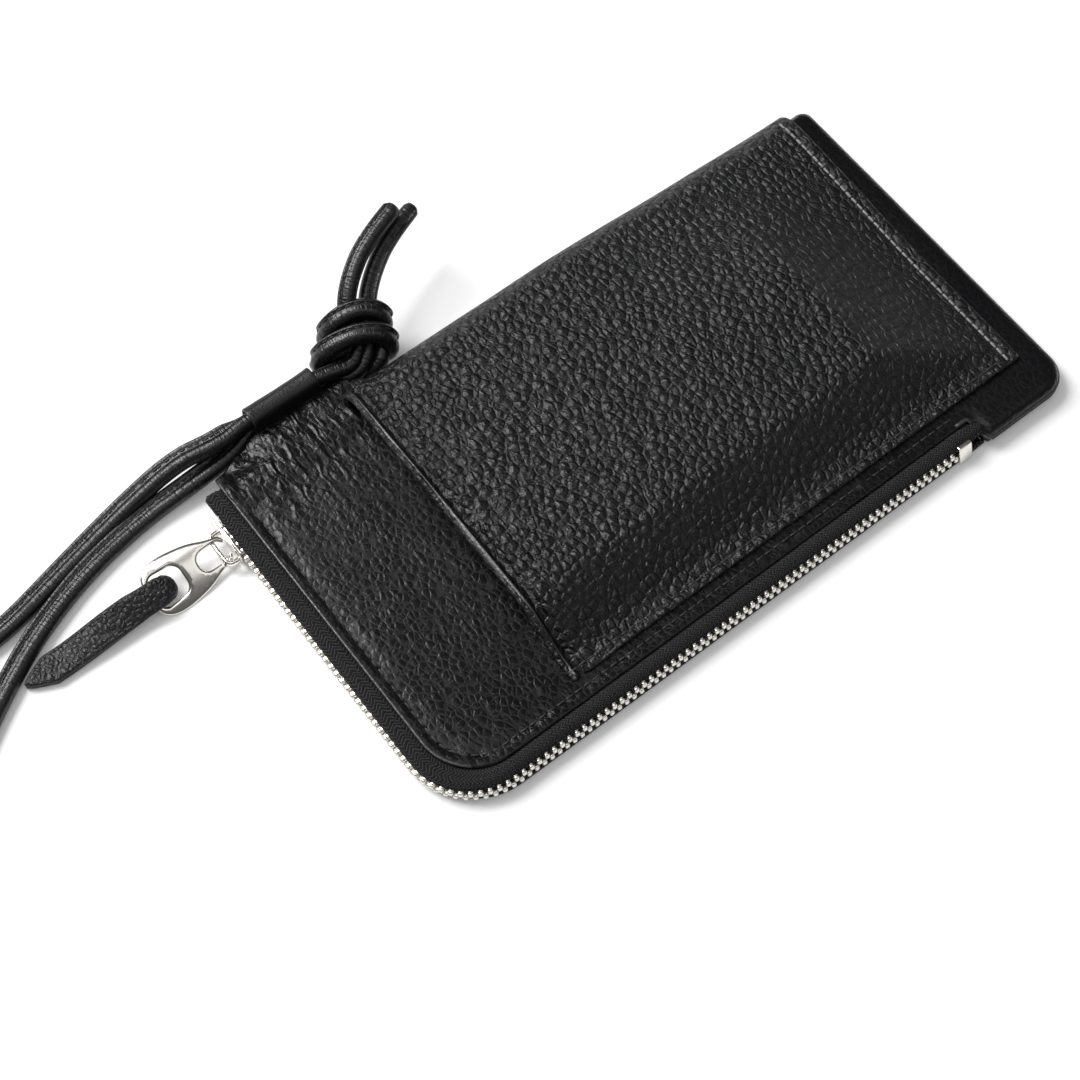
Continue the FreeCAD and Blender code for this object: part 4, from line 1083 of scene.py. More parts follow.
def offset_loop(loop, reach):
    """A closed loop moved sideways: to its right by a positive reach."""
    moved_loop = []
    for i, (x, y) in enumerate(loop):
        ax, ay = loop[i - 1]
        bx, by = loop[(i + 1) % len(loop)]
        run = math.hypot(bx - ax, by - ay)
        moved_loop.append((x + (by - ay) / run * reach, y - (bx - ax) / run * reach))
    return moved_loop


def line_distance(points, line):
    """Distance of each point to a polyline."""
    points = np.asarray(points, float)
    best = np.full(len(points), np.inf)
    for a, b in zip(np.asarray(line, float), np.asarray(line[1:], float)):
        run = b - a
        share = np.clip(((points - a) @ run) / max(run @ run, TINY), 0, 1)
        best = np.minimum(best, np.linalg.norm(points - a - share[:, None] * run, axis=1))
    return best


def inside(point, loop):
    x, v = point
    hit = False
    for (ax, av), (bx, bv) in zip(loop, loop[1:] + loop[:1]):
        if (av > v) != (bv > v) and x < (bx - ax) * (v - av) / (bv - av) + ax:
            hit = not hit
    return hit


def kept(points, loops, gap):
    """The points inside the first loop and outside the others that keep a gap from all of them."""
    far = np.min([line_distance(points, loop + loop[:1]) for loop in loops], axis=0)
    return [point for point, away in zip(points, far) if away > gap and inside(point, loops[0])
            and not any(inside(point, hole) for hole in loops[1:])]


def filled(loops, points):
    """Flat points and triangles that fill the first loop and leave the other loops open."""
    flat, edges = [], []
    for loop in loops:
        edges += [(len(flat) + i, len(flat) + (i + 1) % len(loop)) for i in range(len(loop))]
        flat = flat + loop
    cut = delaunay_2d_cdt([Vector(p) for p in flat + points], edges, [], 1, 1e-4)
    spots = [tuple(v) for v in cut[0]]
    middles = [np.mean([spots[index] for index in face], axis=0) for face in cut[2]]
    return spots, [tuple(face) for face, middle in zip(cut[2], middles)
                   if not any(inside(middle, hole) for hole in loops[1:])]


rim_points = dense(pattern, EDGE_STEP, True)
edge_points = [spot for inset in EDGE_ROWS for spot in offset_loop(rim_points, -inset)]
grid_x = np.arange(OPENING_X, BOTTOM_X, GRID_STEP)
grid_v = np.arange(SEAM_Y, back_v(SEAM_Y), GRID_STEP)
grid = [(x + (GRID_STEP / 2 if row % 2 else 0), v) for row, v in enumerate(grid_v) for x in grid_x]
fill_points = kept(edge_points, [rim_points], EDGE_CLEAR) + kept(grid, [rim_points], GRID_CLEAR)
flat_points, flat_faces = filled([rim_points], fill_points)
print("shell pattern", len(flat_points), "points", len(flat_faces), "triangles")

# %% [markdown]
# The flat pattern is wrapped: flat front, half-round fold, flat back. Along the sewn edges the leather rolls
# inwards until the two edges meet in a seam, and it puckers along the zip's stitches. A little noise takes
# the stiffness out of the flat parts.

# %% Shell wrap
SHELL_THICK = 1.15
ROLL_WIDE, ROLL_DEEP = 3.3, 2.6
SEAM_INSET, GROOVE_WIDE = 2.4, 0.6
CALM_WIDE, CALM_DROP = 4.0, 0.16


def waviness(x, y, size, seed):
    """Smooth noise over a flat place, with humps of about this size in millimetres."""
    return noise.noise(Vector((x / size, y / size, seed)))


def groove_at(distance):
    """Depth share of the groove that a seam presses, by the distance from it."""
    return math.exp(-(distance / GROOVE_WIDE) ** 2)


sewn_gap = line_distance(flat_points, sewn_line)
zip_gap = np.minimum(line_distance(flat_points, zip_lines[0]), line_distance(flat_points, zip_lines[1]))
shell_verts = []
for (x, v), sewn, zipped in zip(flat_points, sewn_gap, zip_gap):
    roll = max(0.0, 1 - sewn / ROLL_WIDE)
    drop = ROLL_DEEP * (1 - math.sqrt(max(0.0, 1 - roll * roll)))
    soft = 0.16 * waviness(x, v, 17, 3.1) + 0.07 * waviness(x, v, 6, 8.7)
    calm = min(1.0, sewn / CALM_WIDE)
    pucker = 0.42 + 0.5 * waviness(x, v, 2.1, 6.3)
    groove = pucker * groove_at(zipped - SEAM_INSET)
    drop += groove * min(1.0, sewn / 3.0) - soft * calm + CALM_DROP * calm
    if v <= FOLD_Y:
        spot = (x, v, FRONT_Z - drop)
    elif v < FOLD_Y + FOLD_LENGTH:
        a = (v - FOLD_Y) / FOLD_RADIUS
        radius = FOLD_RADIUS - drop
        spot = (x, FOLD_Y + radius * math.sin(a), FOLD_RADIUS + radius * math.cos(a))
    else:
        spot = (x, FOLD_Y - (v - FOLD_Y - FOLD_LENGTH), max(0.0, drop * (sewn < ROLL_WIDE)))
    shell_verts.append(Vector(spot) * MM)
shell_shape = thick_sheet(shell_verts, flat_faces, SHELL_THICK * MM)
piece("pouch_shell", shell_shape, "pouch", "pebbled_leather", panel_skin,
      "front_panel", "back_panel", "fold_edge")

# %% [markdown]
# ## The slip pocket
# The pocket is a second piece of leather that bulges over what it holds. Its section rises softly from the
# sewn margin on the zip side, runs nearly flat across and rolls over the fold. Towards the bottom end the
# bulge sinks to the seam. Cloth simulation could swell it, but a section that changes along the pocket can
# follow the slopes of the photo directly.

# %% Pocket section
MOUTH_X, POCKET_END, POCKET_SIDE, WRAP_Y = -50.0, 83.4, -38.2, 49.5
MARGIN_Z, POCKET_TOP, POCKET_CROWN = 8.0, 16.0, 0.55
MARGIN_WIDE = 2.6
RISE_LOW, RISE_FULL = 4.0, 13.0
ROLL_Y, ROLL_Z = 7.5, 6.5
RISE_STEPS, TOP_STEPS, ROLL_STEPS, FOOT_STEPS = 16, 40, 12, 6
TUCKED_POINTS = 2


def ramp(t):
    return min(1.0, max(0.0, t))


def pocket_height(x):
    """Share of the full bulge at a place along the pocket."""
    return 1.0 - 0.5 * (smooth_step((x - 50.0) / 30.8) + ramp((x - 52.0) / 28.8))


def fold_height(x):
    """The same share at the fold side, which falls in a straight line towards the bottom seam."""
    return 1.0 - 0.72 * ramp((x - 10.0) / 70.8)


def pocket_section(x):
    """Section of the pocket from its zip-side edge to under the fold, as (y, z)."""
    share = pocket_height(x)
    top = MARGIN_Z + (POCKET_TOP - MARGIN_Z) * share
    fold_top = MARGIN_Z + (POCKET_TOP - MARGIN_Z) * fold_height(x)
    rise_start = POCKET_SIDE + MARGIN_WIDE
    rise_end = rise_start + RISE_LOW + RISE_FULL * share
    flat_end = WRAP_Y - ROLL_Y
    section = [(POCKET_SIDE + MARGIN_WIDE * k / 4, MARGIN_Z) for k in range(4)]
    for k in range(RISE_STEPS + 1):
        t = k / RISE_STEPS
        rise = (top - MARGIN_Z) * smooth_step(t)
        section.append((rise_start + (rise_end - rise_start) * t, MARGIN_Z + rise))
    for k in range(1, TOP_STEPS + 1):
        t = k / TOP_STEPS
        crown = POCKET_CROWN * share * (1 - (2 * t - 1) ** 2)
        lean = (fold_top - top) * smooth_step((t - 0.35) / 0.65)
        section.append((rise_end + (flat_end - rise_end) * t, top + crown + lean))
    roll_z = min(ROLL_Z, fold_top - 4.5)
    foot = fold_top - roll_z
    for k in range(1, ROLL_STEPS + 1):
        a = math.radians(90 - 90 / ROLL_STEPS * k)
        section.append((flat_end + ROLL_Y * math.cos(a), foot + roll_z * math.sin(a)))
    section += [(WRAP_Y, foot + (3.2 - foot) * k / FOOT_STEPS) for k in range(1, FOOT_STEPS + 1)]
    section += [(WRAP_Y - 0.25, 2.6), (WRAP_Y - 0.8, 2.25)]
    return section


def pocket_z(x, y):
    """Height of the pocket's outer face over a place."""
    section = pocket_section(x)[:-FOOT_STEPS - TUCKED_POINTS]
    return float(np.interp(y, [spot[0] for spot in section], [spot[1] for spot in section]))


print("pocket section of", len(pocket_section(MOUTH_X)), "points")

# %% [markdown]
# The sections are set in rows along the pocket. Seams press grooves into it, and a deeper one lies behind the
# mouth's edge, where the leather is turned in and thicker.

# %% Slip pocket
BOTTOM_SEAM, SIDE_SEAM, MOUTH_SEAM = 2.6, 1.5, 8.5
POCKET_THICK, HEM_THICK = 1.2, 0.5
HEM_WIDE, FINE_ROWS, COARSE_ROWS = 9.5, 24, 96
SEAM_CALM = 9.0
fine_rows = np.linspace(MOUTH_X, MOUTH_X + HEM_WIDE, FINE_ROWS)[:-1]
pocket_rows = np.concatenate([fine_rows, np.linspace(MOUTH_X + HEM_WIDE, POCKET_END, COARSE_ROWS)])
pocket_verts, pocket_thick = [], []
for x in pocket_rows:
    for y, z in pocket_section(x):
        soft = 0.30 * waviness(x, y, 21, 1.7) + 0.10 * waviness(x, y, 8, 5.2)
        seam = min(1.0, (y - POCKET_SIDE) / SEAM_CALM, (POCKET_END - x) / SEAM_CALM)
        groove = 0.32 * groove_at(POCKET_END - x - BOTTOM_SEAM)
        groove += 0.22 * groove_at(y - POCKET_SIDE - SIDE_SEAM)
        groove += 0.20 * groove_at(x - MOUTH_X - MOUTH_SEAM)
        groove += 1.5 * smooth_step((x - MOUTH_X - 0.3) / 1.7) * (1 - smooth_step((x - MOUTH_X - 2.1) / 2.6))
        pocket_verts.append(Vector((x, y, z + soft * max(0.0, seam) - groove * (y < WRAP_Y - 2))) * MM)
        pocket_thick.append((POCKET_THICK + HEM_THICK * smooth_step((MOUTH_X + 11 - x) / 1.5)) * MM)
pocket_faces = grid_quads(len(pocket_rows), len(pocket_section(MOUTH_X)), False, OUTER_FIRST)
pocket_shape = thick_sheet(pocket_verts, pocket_faces, pocket_thick)
piece("slip_pocket", pocket_shape, "pouch", "pebbled_leather", pebbled, "pocket_panel", "mouth_hem")

# %% [markdown]
# The pocket's mouth ends in a smooth painted edge that slopes a little towards the opening and catches the
# light as a thin pale line; its grey colour is partly edge paint and partly a painted highlight. The zip
# opening's edge has a narrower one. A bevel on the sheet would give them no shape of their own, so each is one
# section swept along the edge.

# %% Painted edges and their painted highlight
FADE_DROP = 0.9


def edge_strip(name, line, section, fade=0.0, inward=None):
    """A strip along an edge: (p, q) of its section are inwards from the edge and up, in millimetres."""
    along = distances(line)
    frames = []
    for i in range(len(line)):
        heading = (line[min(len(line) - 1, i + 1)] - line[max(0, i - 1)]).normalized()
        side = UP.cross(heading).normalized() if inward is None else inward
        frames.append((heading, side, heading.cross(side)))

    def section_at(s):
        low = smooth_step((along[-1] - s) / fade) if fade else 1.0
        return [(p * MM, (q - FADE_DROP * (1 - low)) * MM) for p, q in reversed(section)]

    piece(name, sweep(line, section_at, frames), "pouch", "smooth_leather", edge_paint_and_highlight)


mouth_line = to_metres([(MOUTH_X, y, z) for y, z in pocket_section(MOUTH_X)[::-1]])
mouth_edge = [
    (-0.5, -1.5), (-0.54, -0.75), (-0.52, -0.42), (-0.44, -0.28), (0.46, 0.06), (0.62, 0.07), (0.76, -0.05),
    (0.82, -0.4), (0.85, -1.2), (0.6, -1.75), (0.2, -1.9), (-0.3, -1.8),
]
# Painted highlight: the mouth's strip is lighter grey than the leather.
edge_strip("pocket_mouth_edge", mouth_line, mouth_edge, inward=Vector((1, 0, 0)))

# %% [markdown]
# ## Seams
# Each seam is a row of separate stitches. A bump pattern would lie flat in a low view, so they are little
# solids like the strap's. The pocket's bottom seam catches the light, so its thread is a lighter grey copy of
# the black one, a painted highlight; the others are black on black.

# %% Seam stitches
def seam_row(line, step, height_at):
    """Stitch places along a flat line of (x, y) in millimetres."""
    places = []
    spare = 0.0
    for (ax, ay), (bx, by) in zip(line, line[1:]):
        run = Vector((bx - ax, by - ay, 0))
        at = spare
        while at < run.length:
            x, y = ax + run.x * at / run.length, ay + run.y * at / run.length
            places.append((Vector((x, y, height_at(x, y))) * MM, run.normalized(), UP))
            at += step
        spare = at - run.length
    return places


seam_x, seam_y, hem_x = POCKET_END - BOTTOM_SEAM, POCKET_SIDE + SIDE_SEAM, MOUTH_X + MOUTH_SEAM
bottom_seam = seam_row([(seam_x, seam_y), (seam_x, FOLD_Y + 1)], 2.1, lambda x, y: pocket_z(x, y) - 0.22)
# Painted highlight: this seam's thread is the lighter copy of the black one.
stitch_piece("pocket_bottom_stitches", bottom_seam, 1.95, 0.58, painted_highlight_thread, "pocket_stitches")
side_seam = seam_row([(MOUTH_X + 1, seam_y), (seam_x - 1, seam_y)], 2.4, lambda x, y: MARGIN_Z - 0.2)
stitch_piece("pocket_side_stitches", side_seam, 1.9, 0.45, black_thread)
mouth_seam = seam_row([(hem_x, -20.0), (hem_x, 41.5)], 2.6, lambda x, y: POCKET_TOP + 0.3)
stitch_piece("mouth_hem_stitches", mouth_seam, 2.0, 0.4, black_thread, "mouth_stitches")
zip_seam = [(OPENING_X + SEAM_INSET, FOLD_Y - 3)]
zip_seam += corner_arc(OPENING_X + ZIP_CORNER, ZIP_Y + ZIP_CORNER, ZIP_CORNER - SEAM_INSET, 180, 270, 12)
zip_seam += [(STEP_X - 1, ZIP_Y + SEAM_INSET)]
zip_stitch_places = seam_row(zip_seam, 2.5, lambda x, y: FRONT_Z - 0.42)
stitch_piece("zip_seam_stitches", zip_stitch_places, 1.9, 0.42, black_thread, "zip_stitches")

# %% Edge of the zip's opening
LIP_TOP, LIP_STEP, LIP_POINTS, LIP_TURN_Y = 50.5, 2.0, 40, -29.8
lip_line = [(OPENING_X, LIP_TOP - LIP_STEP * k) for k in range(LIP_POINTS)]
lip_line += corner_arc(OPENING_X + ZIP_CORNER, ZIP_Y + ZIP_CORNER, ZIP_CORNER, 180, 250, 14)
lip_line = [(x, y, FRONT_Z + 0.2) for x, y in lip_line if y > LIP_TURN_Y or x > OPENING_X]
lip_edge = [
    (-0.5, -0.7), (-0.5, -0.2), (-0.42, -0.1), (-0.14, 0.01), (0.0, 0.0), (0.2, -0.12), (0.45, -0.24),
    (0.6, -0.4), (0.65, -0.9),
]
# Painted highlight: the zip lip's strip is lighter grey than the leather.
edge_strip("zip_lip_edge", to_metres(lip_line), lip_edge, fade=0.008)

# %% [markdown]
# At the bottom end the front and back leather meet edge on edge. Each layer's cut edge is a narrow bead, with
# a dark slit between the two, and the front one also rims the curve that closes the zip's opening. Both are
# swept like the painted edges.

# %% Seam edges
seam_rim = dense([(STEP_X - 3.0, ZIP_Y), (STEP_X, ZIP_Y)] + front_seam + [(BOTTOM_X, FOLD_Y - 2)], 0.9, False)
seam_roll = np.clip(1 - line_distance(seam_rim, sewn_line) / ROLL_WIDE, 0, 1)
seam_drop = ROLL_DEEP * (1 - np.sqrt(1 - seam_roll ** 2))
seam_bead = [
    (0.1, -0.5), (-0.26, -0.36), (-0.34, -0.12), (-0.28, 0.1), (-0.06, 0.24), (0.3, 0.26), (0.6, 0.0),
    (0.55, -0.5),
]
front_rim = [(x, y, FRONT_Z - drop) for (x, y), drop in zip(seam_rim, seam_drop)]
back_rim = [(x, y, drop + 0.1) for (x, y), drop in zip(seam_rim, seam_drop) if x > STEP_X + STEP_RUN]
# Painted highlight: both seam beads take the lighter grey edge material.
edge_strip("front_seam_edge", to_metres(front_rim), seam_bead, fade=0.02)
edge_strip("back_seam_edge", to_metres(back_rim), seam_bead, fade=0.02)

# %% [markdown]
# ## The zip
# The chain stands on edge: the front tape comes out from under the front leather, bows over and turns down to
# the teeth, and the back tape mirrors it. A curve with a bevel can't change its lean round the corner as
# simply, so each tape is a grid of its own along the chain's line.

# %% Chain line
CHAIN_X, CHAIN_Y, CHAIN_Z, CHAIN_BEND = -89.55, -47.7, 3.4, 16.0
TAPE_TOP, TAPE_END = 48.8, 64.6
CHAIN_STRAIGHT = TAPE_TOP - (CHAIN_Y + CHAIN_BEND)
CHAIN_TURN = CHAIN_BEND * math.pi / 2
CHAIN_LENGTH = CHAIN_STRAIGHT + CHAIN_TURN + (TAPE_END - CHAIN_X - CHAIN_BEND)
MOUTH_LEAN, LEAN_TURN = -10.0, 29.0


def chain_spot(distance):
    """Place on the chain and its heading, measured in millimetres from the tape's top."""
    if distance <= CHAIN_STRAIGHT:
        return Vector((CHAIN_X, TAPE_TOP - distance, CHAIN_Z)), Vector((0, -1, 0))
    if distance <= CHAIN_STRAIGHT + CHAIN_TURN:
        a = (distance - CHAIN_STRAIGHT) / CHAIN_BEND
        x = CHAIN_X + CHAIN_BEND * (1 - math.cos(a))
        y = CHAIN_Y + CHAIN_BEND * (1 - math.sin(a))
        return Vector((x, y, CHAIN_Z)), Vector((math.sin(a), -math.cos(a), 0))
    along = distance - CHAIN_STRAIGHT - CHAIN_TURN
    return Vector((CHAIN_X + CHAIN_BEND + along, CHAIN_Y, CHAIN_Z)), Vector((1, 0, 0))


def chain_lean(distance):
    """Tilt of the chain: its face leans up along the long side and a little down across the mouth end."""
    past = distance - CHAIN_STRAIGHT + 4.0
    return math.radians(MOUTH_LEAN + LEAN_TURN * smooth_step(past / (CHAIN_TURN + 8.0)))


def inward_of(heading):
    return Vector((-heading.y, heading.x, 0))


print("chain", round(CHAIN_LENGTH, 1), "mm long")

# %% Zip tapes
TAPE_MIDLINE = [
    (0.0, 1.25), (0.0, 2.3), (0.12, 2.75), (0.5, 3.0), (1.1, 3.08), (1.8, 3.06), (2.6, 2.9), (3.6, 2.45),
    (4.6, 2.05), (5.6, 1.96), (8.5, 1.95), (12.0, 1.95),
]
TAPE_HALF = 0.22
TAPE_STEPS = int(CHAIN_LENGTH / 1.2)
FREE_REACH, SEWN_REACH = 3.9, 8.2
FRAY, END_SINKS, LEAN_FADES = 0.7, 0.2, 3.0


def tape_section(sign):
    """Closed section of one tape half as (inwards, up), from its midline."""
    upper, lower = [], []
    for i, (n, w) in enumerate(TAPE_MIDLINE):
        a = TAPE_MIDLINE[max(0, i - 1)]
        b = TAPE_MIDLINE[min(len(TAPE_MIDLINE) - 1, i + 1)]
        run = math.hypot(b[0] - a[0], b[1] - a[1])
        nx, nw = -(b[1] - a[1]) / run, (b[0] - a[0]) / run
        upper.append((n + nx * TAPE_HALF, (w + nw * TAPE_HALF) * sign))
        lower.append((n - nx * TAPE_HALF, (w - nw * TAPE_HALF) * sign))
    return upper + lower[::-1]


def zip_tape(name, sign, cad_node):
    """One tape half: narrow at its free top, then reaching in under the leather, with UVs in millimetres."""
    section = tape_section(sign)
    count = len(section)
    across = [0.0]
    for (an, aw), (bn, bw) in zip(section, section[1:]):
        across.append(across[-1] + math.hypot(bn - an, bw - aw))
    verts, uvs = [], []
    for i in range(TAPE_STEPS + 1):
        at = CHAIN_LENGTH * i / TAPE_STEPS
        spot, heading = chain_spot(at)
        inward = inward_of(heading)
        lean = math.tan(chain_lean(at))
        reach = FREE_REACH + SEWN_REACH * smooth_step((at - 4.0) / 4.0)
        low = 1 - END_SINKS * smooth_step((at - CHAIN_LENGTH + 5.0) / 4.0)
        for n, w in section:
            fray = FRAY * noise.noise(Vector((n * 2.7, w * 2.7, 0.4))) if i == 0 else 0.0
            side = min(n, reach) + w * lean * max(0.0, 1 - n / LEAN_FADES)
            verts.append((spot + inward * side + heading * fray + Vector((0, 0, w * low))) * MM)
    for i in range(TAPE_STEPS):
        low, high = CHAIN_LENGTH * i / TAPE_STEPS, CHAIN_LENGTH * (i + 1) / TAPE_STEPS
        for here, after in zip(across, across[1:] + across[:1]):
            uvs.append(((low, here), (low, after), (high, after), (high, here)))
    faces = grid_quads(TAPE_STEPS + 1, count, True)
    faces += [tuple(range(count))[::-1], tuple(range(TAPE_STEPS * count, (TAPE_STEPS + 1) * count))]
    uvs += [((0.0, 0.0),) * count] * 2
    if sign < 0:
        faces, uvs = [face[::-1] for face in faces], [corners[::-1] for corners in uvs]
    piece(name, (verts, faces, uvs), "pouch", "zip_tape", tape_cloth, cad_node)


zip_tape("front_tape", 1, "zip_tape_front")
zip_tape("back_tape", -1, "zip_tape_back")

# %% [markdown]
# Each tooth is a small nickel block with a rounded head, and two legs clamp it on the tape's lip. One tooth
# is made and set along the chain by a loop. The back row stands half a step further, so the rows mesh.

# %% Teeth
TOOTH_PITCH, TOOTH_LONG, TOOTH_DEEP = 2.1, 1.22, 2.1
FIRST_TOOTH, LAST_CLEAR = 11.05, 7.0
LONG_LEAN, TOOTH_STAND = math.radians(19.0), 1.3


def one_tooth(sign):
    """A tooth: rounded head across the chain and two legs that grip the tape's lip."""
    parts = [shifted(soft_block(TOOTH_LONG, TOOTH_DEEP, 1.6, 0.42, 4), 0, 0, sign * 0.68)]
    for side in (-1, 1):
        leg = soft_block(TOOTH_LONG * 0.72, 0.26, 0.6, 0.1, 1)
        parts.append(shifted(leg, 0, side * 0.37, sign * 1.5))
    return joined(parts)


def leaning(spot, heading, lean):
    """Axes on the chain: along it, inwards and up, tilted by the lean."""
    inward = inward_of(heading)
    return basis(spot, heading, inward * math.cos(lean) - UP * math.sin(lean),
                 UP * math.cos(lean) + inward * math.sin(lean))


def tooth_row(name, sign, first, cad_node):
    tooth = one_tooth(sign)
    parts = []
    at = first
    while at < CHAIN_LENGTH - LAST_CLEAR - TOOTH_LONG:
        spot, heading = chain_spot(at)
        lean = chain_lean(at)
        stand_out = TOOTH_STAND * (LONG_LEAN - lean)
        spot += Vector((heading.y, -heading.x, 0)) * stand_out
        parts.append(moved(tooth, leaning(spot, heading, lean)))
        at += TOOTH_PITCH
    piece(name, in_metres(joined(parts)), "pouch", "zip_metal", tooth_nickel, cad_node)


tooth_row("front_teeth", 1, FIRST_TOOTH, "zip_teeth_front")
tooth_row("back_teeth", -1, FIRST_TOOTH + TOOTH_PITCH / 2, "zip_teeth_back")

# %% [markdown]
# The teeth grip a thick cord that is woven into the tape's edge. It shows black between them, so it is swept
# along both lips as one more piece.

# %% Tape cords
BEAD_RADIUS, BEAD_STEPS, BEAD_OFFSET = 0.5, 150, 1.55


def oval_ring(half_first, half_second, count):
    """A closed oval section, from its half widths in millimetres."""
    angles = [2 * math.pi * k / count for k in range(count)]
    return [(half_first * MM * math.cos(a), half_second * MM * math.sin(a)) for a in angles]


bead_ring = oval_ring(BEAD_RADIUS, BEAD_RADIUS, 10)
bead_shapes = []
for sign in (1, -1):
    bead_line = []
    for k in range(BEAD_STEPS + 1):
        at = CHAIN_LENGTH * k / BEAD_STEPS
        bead_line.append(leaning(*chain_spot(at), chain_lean(at)) @ Vector((0, 0, sign * BEAD_OFFSET)) * MM)
    bead_shapes.append(sweep(bead_line, lambda s: bead_ring))
piece("tape_cords", joined(bead_shapes), "pouch", "zip_tape", tape_cloth)

# %% [markdown]
# Two small clamps end the rows at the closed end, and one wide clamp holds both tapes at the other. They are
# plain blocks with rounded edges, as they are pressed from strip on the real zip.

# %% Stops
TOP_STOP_Y, TOP_STOP_OFFSET, FOOT_STOP_X = 43.2, 1.33, 58.3
top_stop = soft_block(1.5, 2.0, 1.75, 0.3, 3)
stop_heights = (CHAIN_Z + TOP_STOP_OFFSET, CHAIN_Z - TOP_STOP_OFFSET)
stop_parts = [shifted(top_stop, CHAIN_X, TOP_STOP_Y, z) for z in stop_heights]
piece("end_stops", in_metres(joined(stop_parts)), "pouch", "zip_metal", nickel, "top_stops")
stop_place = leaning(Vector((FOOT_STOP_X, CHAIN_Y, CHAIN_Z)), Vector((1, 0, 0)), chain_lean(CHAIN_LENGTH))
foot_stop = moved(soft_block(3.9, 2.5, 5.0, 0.3, 3), stop_place)
piece("foot_stop", in_metres(foot_stop), "pouch", "zip_metal", nickel, "bottom_stop")

# %% [markdown]
# ## Slider, bridge and puller
# The slider's two plates straddle the chain, joined by a thin post and with low flanges that guide the teeth.
# On the real zip it is cast in one. Here it is put together from bevelled blocks, and the plates are shaped
# point by point, which gives the narrowed end and the soft crown.

# %% Slider
SLIDER_Y, SLIDER_LONG, SLIDER_NOSE, SLIDER_HIGH = 36.9, 10.0, 3.0, 4.9
FLANGE_XS, FLANGE_Z = (-1.62, 0.95), 2.08


def slider_plate(x, thick, crown):
    """A plate that narrows a little towards the end that closes the zip, with a soft edge."""
    plate_long = SLIDER_LONG + SLIDER_NOSE
    verts, faces = soft_block(thick, plate_long, SLIDER_HIGH, 0.38 * thick, 3)
    shaped = []
    for v in verts:
        share = v.y / plate_long
        narrow = 1 - 0.16 * smooth_step((-share - 0.1) / 0.4) - 0.05 * smooth_step((share - 0.2) / 0.3)
        bow = crown * (1 - (v.z / (SLIDER_HIGH / 2)) ** 2) * (1 - (2 * share) ** 2)
        shaped.append(Vector((v.x + bow, v.y, v.z * narrow)))
    return shifted((shaped, faces), x, SLIDER_Y + SLIDER_NOSE / 2, CHAIN_Z)


slider_parts = [slider_plate(CHAIN_X - 2.17, 0.45, -0.04), slider_plate(CHAIN_X + 1.7, 0.9, 0.12)]
for flange_x in FLANGE_XS:
    for level in (-1, 1):
        flange = soft_block(0.72, SLIDER_LONG * 0.8, 0.46, 0.14, 2)
        slider_parts.append(shifted(flange, CHAIN_X + flange_x, SLIDER_Y - 0.3, CHAIN_Z + level * FLANGE_Z))
slider_post = soft_block(3.6, 2.4, 0.4, 0.1, 1)
slider_parts.append(shifted(slider_post, CHAIN_X - 0.3, SLIDER_Y + 3.7, CHAIN_Z))
piece("slider_plates", in_metres(joined(slider_parts)), "slider", "zip_metal", nickel, "slider_body")

# %% [markdown]
# The bridge is a bent wire on the outer plate, and the puller hangs on it. Half of its route is written and
# mirrored, and an oval section is swept along the whole.

# %% Bridge
BRIDGE_REACH = 4.4
BRIDGE_HALF_THICK, BRIDGE_HALF_WIDE = 0.62, 0.95
bridge_side = [(-91.7, BRIDGE_REACH - 0.2), (-93.2, BRIDGE_REACH + 0.1), (-94.7, BRIDGE_REACH - 0.5),
               (-94.9, BRIDGE_REACH - 2.4)]
bridge_route = [(x, SLIDER_Y - reach, CHAIN_Z) for x, reach in bridge_side]
bridge_route += [(x, SLIDER_Y + reach, CHAIN_Z) for x, reach in reversed(bridge_side)]
bridge_line = spline_points(to_metres(bridge_route), 8)
bridge_ring = oval_ring(BRIDGE_HALF_THICK, BRIDGE_HALF_WIDE, 12)
bridge_shape = sweep(bridge_line, lambda s: bridge_ring)
piece("bridge_loop", bridge_shape, "slider", "zip_metal", nickel, "slider_bridge")

# %% [markdown]
# The flared puller hangs on the bridge, rolled to one side as it lies in the photo. A plain extrusion would
# have hard rims, so the plate is filled like the shell's pattern, with both holes left open, and then made
# thick with a round rim. It is a little domed.

# %% Puller
BRIDGE_X = -94.7
PULLER_ROLL = math.radians(25.0)
PLATE_THICK, PLATE_CROWN, PLATE_RIDGE, PLATE_LIFT = 1.1, 0.6, 2.0, 0.15
CROWN_REACH = 6.5
PLATE_GRID, PLATE_CLEAR = 0.55, 0.3
CORNER_STEPS = 7
puller_side = [
    (2.5, 0), (2.5, 2.3), (1.6, 3.5), (-1.2, 4.0), (-5.0, 5.75), (-9.0, 6.6), (-13.2, 7.1), (-17.2, 6.4),
    (-19.3, 3.6), (-19.3, 0),
]


def rounded(corners, radii):
    """A closed outline with round corners, as (x, y)."""
    outline = []
    for i, (corner, radius) in enumerate(zip(corners, radii)):
        here = Vector(corner)
        before = (Vector(corners[i - 1]) - here).normalized()
        after = (Vector(corners[(i + 1) % len(corners)]) - here).normalized()
        half = before.angle(after) / 2
        reach = radius / math.tan(half)
        middle = here + (before + after).normalized() * (radius / math.sin(half))
        start = here + before * reach - middle
        finish = here + after * reach - middle
        turn = start.angle_signed(finish)
        for k in range(CORNER_STEPS + 1):
            spot = middle + Matrix.Rotation(-turn * k / CORNER_STEPS, 2) @ start
            outline.append((spot.x, spot.y))
    return outline


